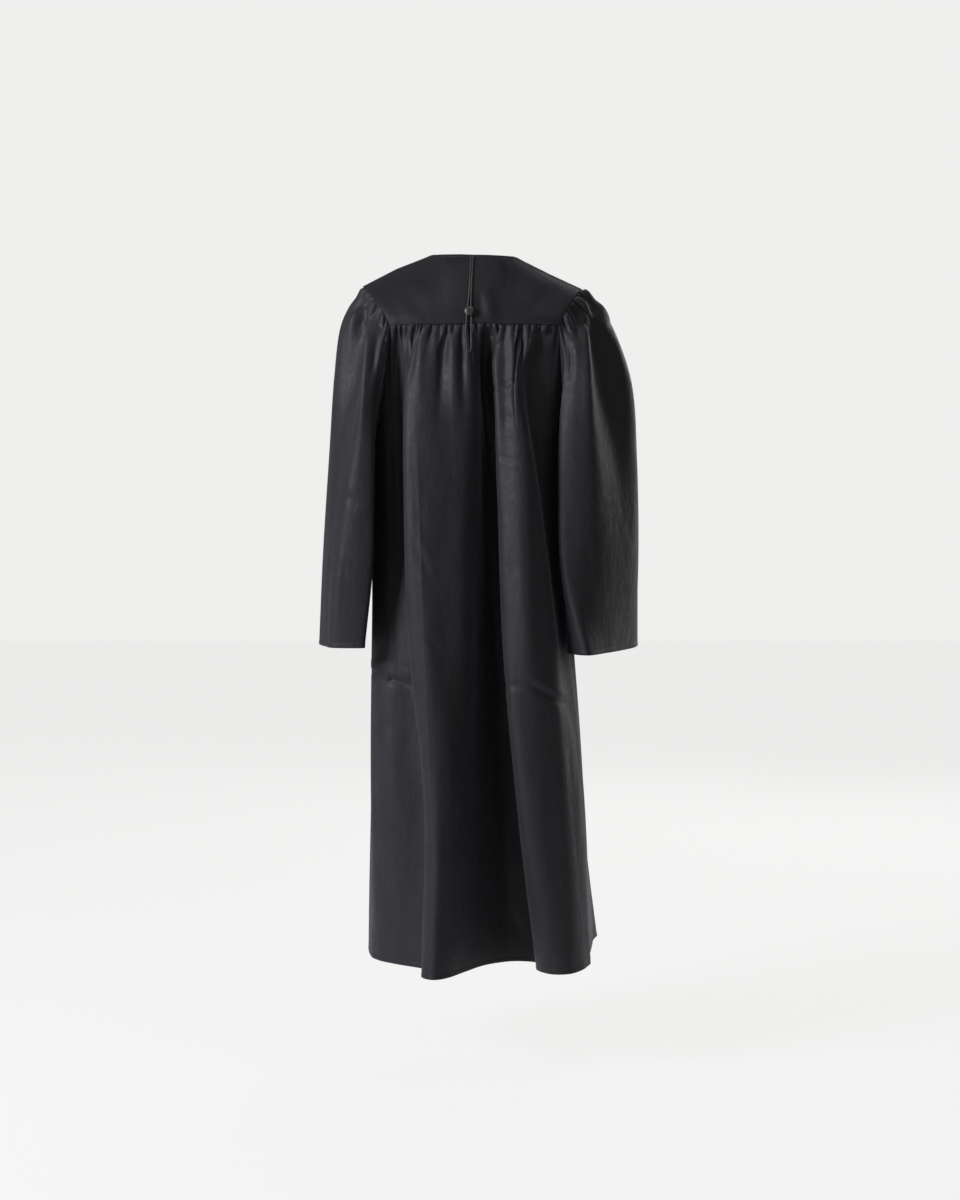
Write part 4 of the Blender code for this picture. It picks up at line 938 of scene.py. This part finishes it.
# %% [markdown]
# Stitches. The neck edge, the cuffs and the hem each show one row of machine stitches. A stitch is a short thread that
# dips at both ends. It is modelled once, from a five-sided cylinder cut across in three places, and copied along rows.


# %% One stitch
def one_stitch(long, thick):
    stitch = new_primitive(bpy.ops.mesh.primitive_cylinder_add, vertices=5, radius=thick, depth=long,
                           rotation=(0.0, math.pi / 2, 0.0))
    bpy.ops.object.transform_apply(location=True, rotation=True, scale=True)
    bpy.ops.object.mode_set(mode="EDIT")
    for place in (-0.3, 0.0, 0.3):
        bpy.ops.mesh.select_all(action="SELECT")
        bpy.ops.mesh.bisect(plane_co=(place * long, 0.0, 0.0), plane_no=(1.0, 0.0, 0.0))
    bpy.ops.object.mode_set(mode="OBJECT")
    points = np.array([v.co[:] for v in stitch.data.vertices])
    faces = [list(face.vertices) for face in stitch.data.polygons]
    bpy.data.meshes.remove(stitch.data)
    reach = np.abs(points[:, 0]) / long
    points[:, 1:] *= np.where(reach > 0.4, 0.55, 1.0)[:, None]
    points[:, 2] += thick * np.interp(reach, (0.0, 0.3, 0.5), (0.8, 0.5, -0.3))
    return points, faces


STITCH_LONG, STITCH_THICK = 0.0027, 0.00022
print("one stitch has", len(one_stitch(STITCH_LONG, STITCH_THICK)[1]), "faces")


# %% Rows of stitches
def read_at(at, run, values):
    return np.stack([np.interp(at, run, values[:, c]) for c in range(3)], axis=-1)


def unit(v):
    return v / np.maximum(np.linalg.norm(v, axis=-1, keepdims=True), 1e-12)


def stitch_row(name, rows, pitch=0.0040, long=STITCH_LONG, thick=STITCH_THICK):
    shape, shape_faces = one_stitch(long, thick)
    points, faces = [], []
    for path, facing in rows:
        run = np.concatenate([[0.0], np.cumsum(np.linalg.norm(np.diff(path, axis=0), axis=1))])
        at = np.arange(0.5 * pitch, run[-1], pitch)
        spot, out = read_at(at, run, path), unit(read_at(at, run, facing))
        ahead = read_at(at + 0.0005, run, path) - read_at(at - 0.0005, run, path)
        ahead = unit(ahead - out * (ahead * out).sum(axis=-1, keepdims=True))
        axes = np.stack([ahead, np.cross(out, ahead), out], axis=1)
        for centre, turned in zip(spot, shape @ axes):
            base = len(points)
            points += (centre + turned).tolist()
            faces += [[base + k for k in face] for face in shape_faces]
    mesh = bpy.data.meshes.new(name)
    mesh.from_pydata(points, [], faces)
    mesh.shade_smooth()
    piece = bpy.data.objects.new(name, mesh)
    bpy.context.scene.collection.objects.link(piece)
    print(name, len(faces), "faces")
    return piece


def grid_row(piece, columns, row, closed):
    """One row of a finished piece's grid: its points, lifted just off the cloth, and the way out at each."""
    points = piece.data.vertices
    row = row % (len(points) // columns)
    order = list(range(row * columns, (row + 1) * columns)) + ([row * columns] if closed else [])
    facing = np.array([points[k].normal for k in order])
    return np.array([points[k].co for k in order]) + facing * THREAD_LIFT, facing


THREAD_LIFT = 0.00055
HEM_STITCH_ROW, NECK_STITCH_ROW = -5, 9
BACK_COLUMNS = BACK_GATHERS * BACK_PER_GATHER + 1 + 2 * SIDE_COLUMNS + ALLOWANCE_COLUMNS
FRONT_COLUMNS = FRONT_GATHERS * FRONT_PER_GATHER + 1 + SIDE_COLUMNS
SLEEVE_COLUMNS = SLEEVE_GATHERS * SLEEVE_PER_GATHER + UNDERARM_COLUMNS
hem_stitches = stitch_row("hem_stitches", [
    grid_row(back_panel, BACK_COLUMNS, HEM_STITCH_ROW, False),
    grid_row(front_left, FRONT_COLUMNS, HEM_STITCH_ROW, False),
    grid_row(front_right, FRONT_COLUMNS, HEM_STITCH_ROW, False)], pitch=0.0060, long=0.0034)
cuff_stitches = stitch_row("cuff_stitches", [
    grid_row(sleeve_left, SLEEVE_COLUMNS, HEM_STITCH_ROW, True),
    grid_row(sleeve_right, SLEEVE_COLUMNS, HEM_STITCH_ROW, True)])
neck_stitches = stitch_row("neck_stitches", [grid_row(yoke_back, YOKE_COLUMNS, NECK_STITCH_ROW, False)])

# %% [markdown]
# Colours are picked as the eye sees them, in sRGB hex, and one function turns them into the linear light that the
# shader works in.


# %% Colour and node helpers
def linear(code):
    parts = [int(code[i:i + 2], 16) / 255.0 for i in (1, 3, 5)]
    return tuple(v / 12.92 if v <= 0.04045 else ((v + 0.055) / 1.055) ** 2.4 for v in parts) + (1.0,)


def add(tree, kind, settings=None, links=None):
    """Adds one node. settings are its own values or socket defaults, links are socket: (node, output)."""
    node = tree.nodes.new(kind)
    for key, value in (settings or {}).items():
        if isinstance(key, str) and hasattr(node, key) and key not in node.inputs:
            setattr(node, key, value)
        else:
            node.inputs[key].default_value = value
    for key, (source, output) in (links or {}).items():
        tree.links.new(source.outputs[output], node.inputs[key])
    return node


print("#808080 is", round(linear("#808080")[0], 3), "in linear light")

# %% [markdown]
# Satin-faced polyester. The weave floats its threads over four others, so the face is smooth and gives broad, soft
# highlights that follow the folds, with a faint bluish sheen. Real threads are 0.2 mm apart, too fine to show from
# here, so the weave is drawn at 0.65 to 0.95 mm. A slow noise makes the soft unevenness of thin cloth that has been
# packed. The yoke is stiffened by a fused backing, so it is smoother and less glossy. Its colour is darker than the
# gown's: painted shade, which keeps the yoke's lit faces from reading lighter than the cloth below them.


# %% Satin
def satin(name, colour, rumple=1.0, gloss=0.19, sheen=0.10):
    m = bpy.data.materials.new(name)
    m.use_nodes = True
    tree = m.node_tree
    shader = tree.nodes["Principled BSDF"]
    uv = add(tree, "ShaderNodeUVMap", {"uv_map": "cut"})
    place = add(tree, "ShaderNodeTexCoord")
    warp = add(tree, "ShaderNodeTexWave", {"wave_type": "BANDS", "bands_direction": "DIAGONAL", "Scale": 330.0,
                                           "Distortion": 0.6, "Detail": 1.0}, {"Vector": (uv, "UV")})
    threads = add(tree, "ShaderNodeTexWave", {"wave_type": "BANDS", "bands_direction": "X", "Scale": 480.0,
                                              "Distortion": 0.3}, {"Vector": (uv, "UV")})
    weave = add(tree, "ShaderNodeMix", {"data_type": "FLOAT", 0: 0.5}, {2: (warp, "Fac"), 3: (threads, "Fac")})
    stretch = add(tree, "ShaderNodeMapping", {"Scale": (1.0, 1.0, 0.45)}, {"Vector": (place, "Object")})
    slow = add(tree, "ShaderNodeTexNoise", {"Scale": 26.0, "Detail": 4.0, "Roughness": 0.55},
               {"Vector": (stretch, "Vector")})
    fine = add(tree, "ShaderNodeTexNoise", {"Scale": 95.0, "Detail": 3.0, "Roughness": 0.6},
               {"Vector": (place, "Object")})
    tone = add(tree, "ShaderNodeValToRGB", {}, {"Fac": (slow, "Fac")})
    tone.color_ramp.elements[0].position, tone.color_ramp.elements[0].color = 0.30, linear(colour[0])
    tone.color_ramp.elements[1].position, tone.color_ramp.elements[1].color = 0.72, linear(colour[1])
    rough = add(tree, "ShaderNodeMapRange", {"From Min": 0.3, "From Max": 0.7, "To Min": 0.54, "To Max": 0.64},
                {"Value": (fine, "Fac")})
    bump_weave = add(tree, "ShaderNodeBump", {"Strength": 0.12, "Distance": 0.00012}, {"Height": (weave, "Result")})
    bump_fine = add(tree, "ShaderNodeBump", {"Strength": 0.30 * rumple, "Distance": 0.0016},
                    {"Height": (fine, "Fac"), "Normal": (bump_weave, "Normal")})
    bump_slow = add(tree, "ShaderNodeBump", {"Strength": 0.50 * rumple, "Distance": 0.0064},
                    {"Height": (slow, "Fac"), "Normal": (bump_fine, "Normal")})
    tree.links.new(tone.outputs["Color"], shader.inputs["Base Color"])
    tree.links.new(rough.outputs["Result"], shader.inputs["Roughness"])
    tree.links.new(bump_slow.outputs["Normal"], shader.inputs["Normal"])
    shader.inputs["Sheen Weight"].default_value = sheen
    shader.inputs["Sheen Roughness"].default_value = 0.45
    shader.inputs["Sheen Tint"].default_value = linear("#C4C5D2")
    shader.inputs["Specular IOR Level"].default_value = gloss
    shader.inputs["IOR"].default_value = 1.5
    return m


gown_satin = satin("black_polyester_satin", ("#18181A", "#1D1D20"))
# The yoke's darker colours are painted shade, which holds down its lit faces.
yoke_satin_painted_shade = satin("black_polyester_satin_fused_painted_shade", ("#111113", "#151517"), 0.45, 0.16, 0.09)
for piece in (back_panel, front_left, front_right, sleeve_left, sleeve_right, front_placket):
    piece.data.materials.append(gown_satin)
for piece in (yoke_back, yoke_front_left, yoke_front_right):
    piece.data.materials.append(yoke_satin_painted_shade)
print("satin", len(gown_satin.node_tree.nodes), "nodes")

# %% [markdown]
# The button is covered with the same satin, pulled tight, so its threads show straighter and its crown shines a
# little. The cord is a round braid: two sets of slanted threads, a millimetre apart, with a matt face. Both are
# coloured darker than the gown: painted shade, which offsets the light that their round faces catch. The stitches
# are polyester thread, slightly glossier than the cloth.


# %% Button, cord and thread
def plain_fibre(name, colours, scale, slant, roughness, depth):
    m = bpy.data.materials.new(name)
    m.use_nodes = True
    tree = m.node_tree
    shader = tree.nodes["Principled BSDF"]
    place = add(tree, "ShaderNodeTexCoord")
    lean = add(tree, "ShaderNodeMapping", {"Rotation": (0.0, slant, 0.0)}, {"Vector": (place, "Object")})
    counter = add(tree, "ShaderNodeMapping", {"Rotation": (0.0, -slant, 0.0)}, {"Vector": (place, "Object")})
    one = add(tree, "ShaderNodeTexWave", {"bands_direction": "X", "Scale": scale, "Distortion": 0.4},
              {"Vector": (lean, "Vector")})
    two = add(tree, "ShaderNodeTexWave", {"bands_direction": "X", "Scale": scale, "Distortion": 0.4},
              {"Vector": (counter, "Vector")})
    both = add(tree, "ShaderNodeMath", {"operation": "MAXIMUM"}, {0: (one, "Fac"), 1: (two, "Fac")})
    tone = add(tree, "ShaderNodeValToRGB", {}, {"Fac": (both, "Value")})
    tone.color_ramp.elements[0].color, tone.color_ramp.elements[1].color = linear(colours[0]), linear(colours[1])
    bump = add(tree, "ShaderNodeBump", {"Strength": 0.6, "Distance": depth}, {"Height": (both, "Value")})
    tree.links.new(tone.outputs["Color"], shader.inputs["Base Color"])
    tree.links.new(bump.outputs["Normal"], shader.inputs["Normal"])
    shader.inputs["Roughness"].default_value = roughness
    shader.inputs["Sheen Weight"].default_value = 0.15
    shader.inputs["Sheen Roughness"].default_value = 0.5
    return m


# The button's and the cord's darker colours are painted shade for the light that their round faces catch.
button.data.materials.append(plain_fibre("satin_covered_button", ("#0D0D0F", "#151517"), 420.0, 0.8, 0.42, 0.00008))
cord_piece.data.materials.append(plain_fibre("braided_polyester_cord", ("#060607", "#141416"), 300.0, 0.7, 0.52,
                                             0.00025))
thread = plain_fibre("polyester_thread", ("#18181B", "#2A2A30"), 900.0, 0.5, 0.40, 0.00005)
for piece in (hem_stitches, cuff_stitches, neck_stitches):
    piece.data.materials.append(thread)
print("materials", [m.name for m in bpy.data.materials if m.users])

# %% [markdown]
# Each dressed piece rides on the gown's one body, and the solid that it stands for is hidden. The gown is one body,
# because cloth has no joints. The table also gives the size that each sheet was cut to, how it is held and what it
# rests on.

# %% What each piece stands for
DRESS = (
    (yoke_back, "yoke_back", (0.40, 0.165), "stretched", ["yoke_front_left", "yoke_front_right"]),
    (yoke_front_left, "yoke_front_left", (0.165, 0.205), "stretched", ["yoke_back"]),
    (yoke_front_right, "yoke_front_right", (0.165, 0.205), "stretched", ["yoke_back"]),
    (back_panel, "back_panel", (0.90, 1.19), "gathered", ["yoke_back"]),
    (front_left, "front_left", (0.42, 1.14), "gathered", ["yoke_front_left"]),
    (front_right, "front_right", (0.46, 1.14), "gathered", ["yoke_front_right"]),
    (front_placket, "front_placket", (0.036, 1.0), "laid", ["front_left", "front_right"]),
    (sleeve_left, "sleeve_left", (0.66, 0.62), "gathered", ["yoke_back", "back_panel", "front_left"]),
    (sleeve_right, "sleeve_right", (0.70, 0.62), "gathered", ["yoke_back", "back_panel", "front_right"]),
)
for piece, node, flat, held, rests in DRESS:
    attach(piece, "root")
    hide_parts(node)
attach(button, "root")
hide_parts("hood_button")
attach(cord_piece, "root")
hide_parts("hood_cord")
for piece in (hem_stitches, cuff_stitches, neck_stitches):
    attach(piece, "root")
print(len(DRESS) + 5, "pieces dressed")

# %% [markdown]
# The studio: a pale floor, a pale surround, and soft area lights. The large one on the left of the picture gives the
# lit faces of the folds. One from above lights the yoke, a weak one fills the folds that face right, and two light the
# right side and the front, which the picture hardly shows. The floor looks evenly pale to the camera, and is matt.


# %% Lights
def soft_light(name, at, target, power, size, colour="#FFFFFF"):
    data = bpy.data.lights.new(name, "AREA")
    data.energy, data.size, data.color = power, size, linear(colour)[:3]
    light = bpy.data.objects.new(name, data)
    bpy.context.scene.collection.objects.link(light)
    light.location = at
    light.rotation_euler = (Vector(target) - Vector(at)).to_track_quat("-Z", "Y").to_euler()
    return light


soft_light("key_left", (3.1, 2.1, 1.05), (0.0, 0.0, -0.45), 258.0, 1.3, "#F8F8FF")
soft_light("top_soft", (-0.7, 0.9, 2.4), (0.0, 0.0, -0.2), 22.0, 1.6)
soft_light("fill_back", (-1.9, 2.8, 0.6), (0.0, 0.0, -0.7), 7.0, 2.0)
soft_light("right_side", (-2.7, -2.9, 0.3), (0.0, 0.0, -0.7), 34.0, 2.0)
soft_light("front_side", (-0.9, -3.6, 0.9), (0.0, 0.0, -0.6), 70.0, 2.4)

# %% Floor
FLOOR_Z = -1.515
floor = new_primitive(bpy.ops.mesh.primitive_plane_add, size=24.0, location=(0.0, 0.0, FLOOR_Z))
floor.name = "pale_floor"
floor_paint = bpy.data.materials.new("pale_matt_floor")
floor_paint.use_nodes = True
floor_tree = floor_paint.node_tree
floor_shader = floor_tree.nodes["Principled BSDF"]
floor_shader.inputs["Base Color"].default_value = linear("#F1F1F0")
floor_shader.inputs["Roughness"].default_value = 0.9
glow = add(floor_tree, "ShaderNodeEmission", {"Color": linear("#F3F3F2"), "Strength": 1.0})
eye = add(floor_tree, "ShaderNodeLightPath")
share = add(floor_tree, "ShaderNodeMath", {"operation": "MULTIPLY", 1: 0.92}, {0: (eye, "Is Camera Ray")})
pale = add(floor_tree, "ShaderNodeMixShader", {}, {0: (share, "Value"), 1: (floor_shader, "BSDF"),
                                                  2: (glow, "Emission")})
floor_tree.links.new(pale.outputs["Shader"], floor_tree.nodes["Material Output"].inputs["Surface"])
floor.data.materials.append(floor_paint)
print("floor at", FLOOR_Z, "m")

# %% Surround
world = bpy.data.worlds.new("pale_surround")
bpy.context.scene.world = world
world.use_nodes = True
tree = world.node_tree
tree.nodes.clear()
seen = add(tree, "ShaderNodeBackground", {"Color": linear("#EFEFEE"), "Strength": 1.0})
lit = add(tree, "ShaderNodeBackground", {"Color": linear("#FFFFFF"), "Strength": 0.10})
path = add(tree, "ShaderNodeLightPath")
both = add(tree, "ShaderNodeMixShader", {}, {0: (path, "Is Camera Ray"), 1: (lit, "Background"),
                                             2: (seen, "Background")})
add(tree, "ShaderNodeOutputWorld", {}, {"Surface": (both, "Shader")})
bpy.context.scene.view_settings.view_transform = "Standard"
print("surround", len(tree.nodes), "nodes")
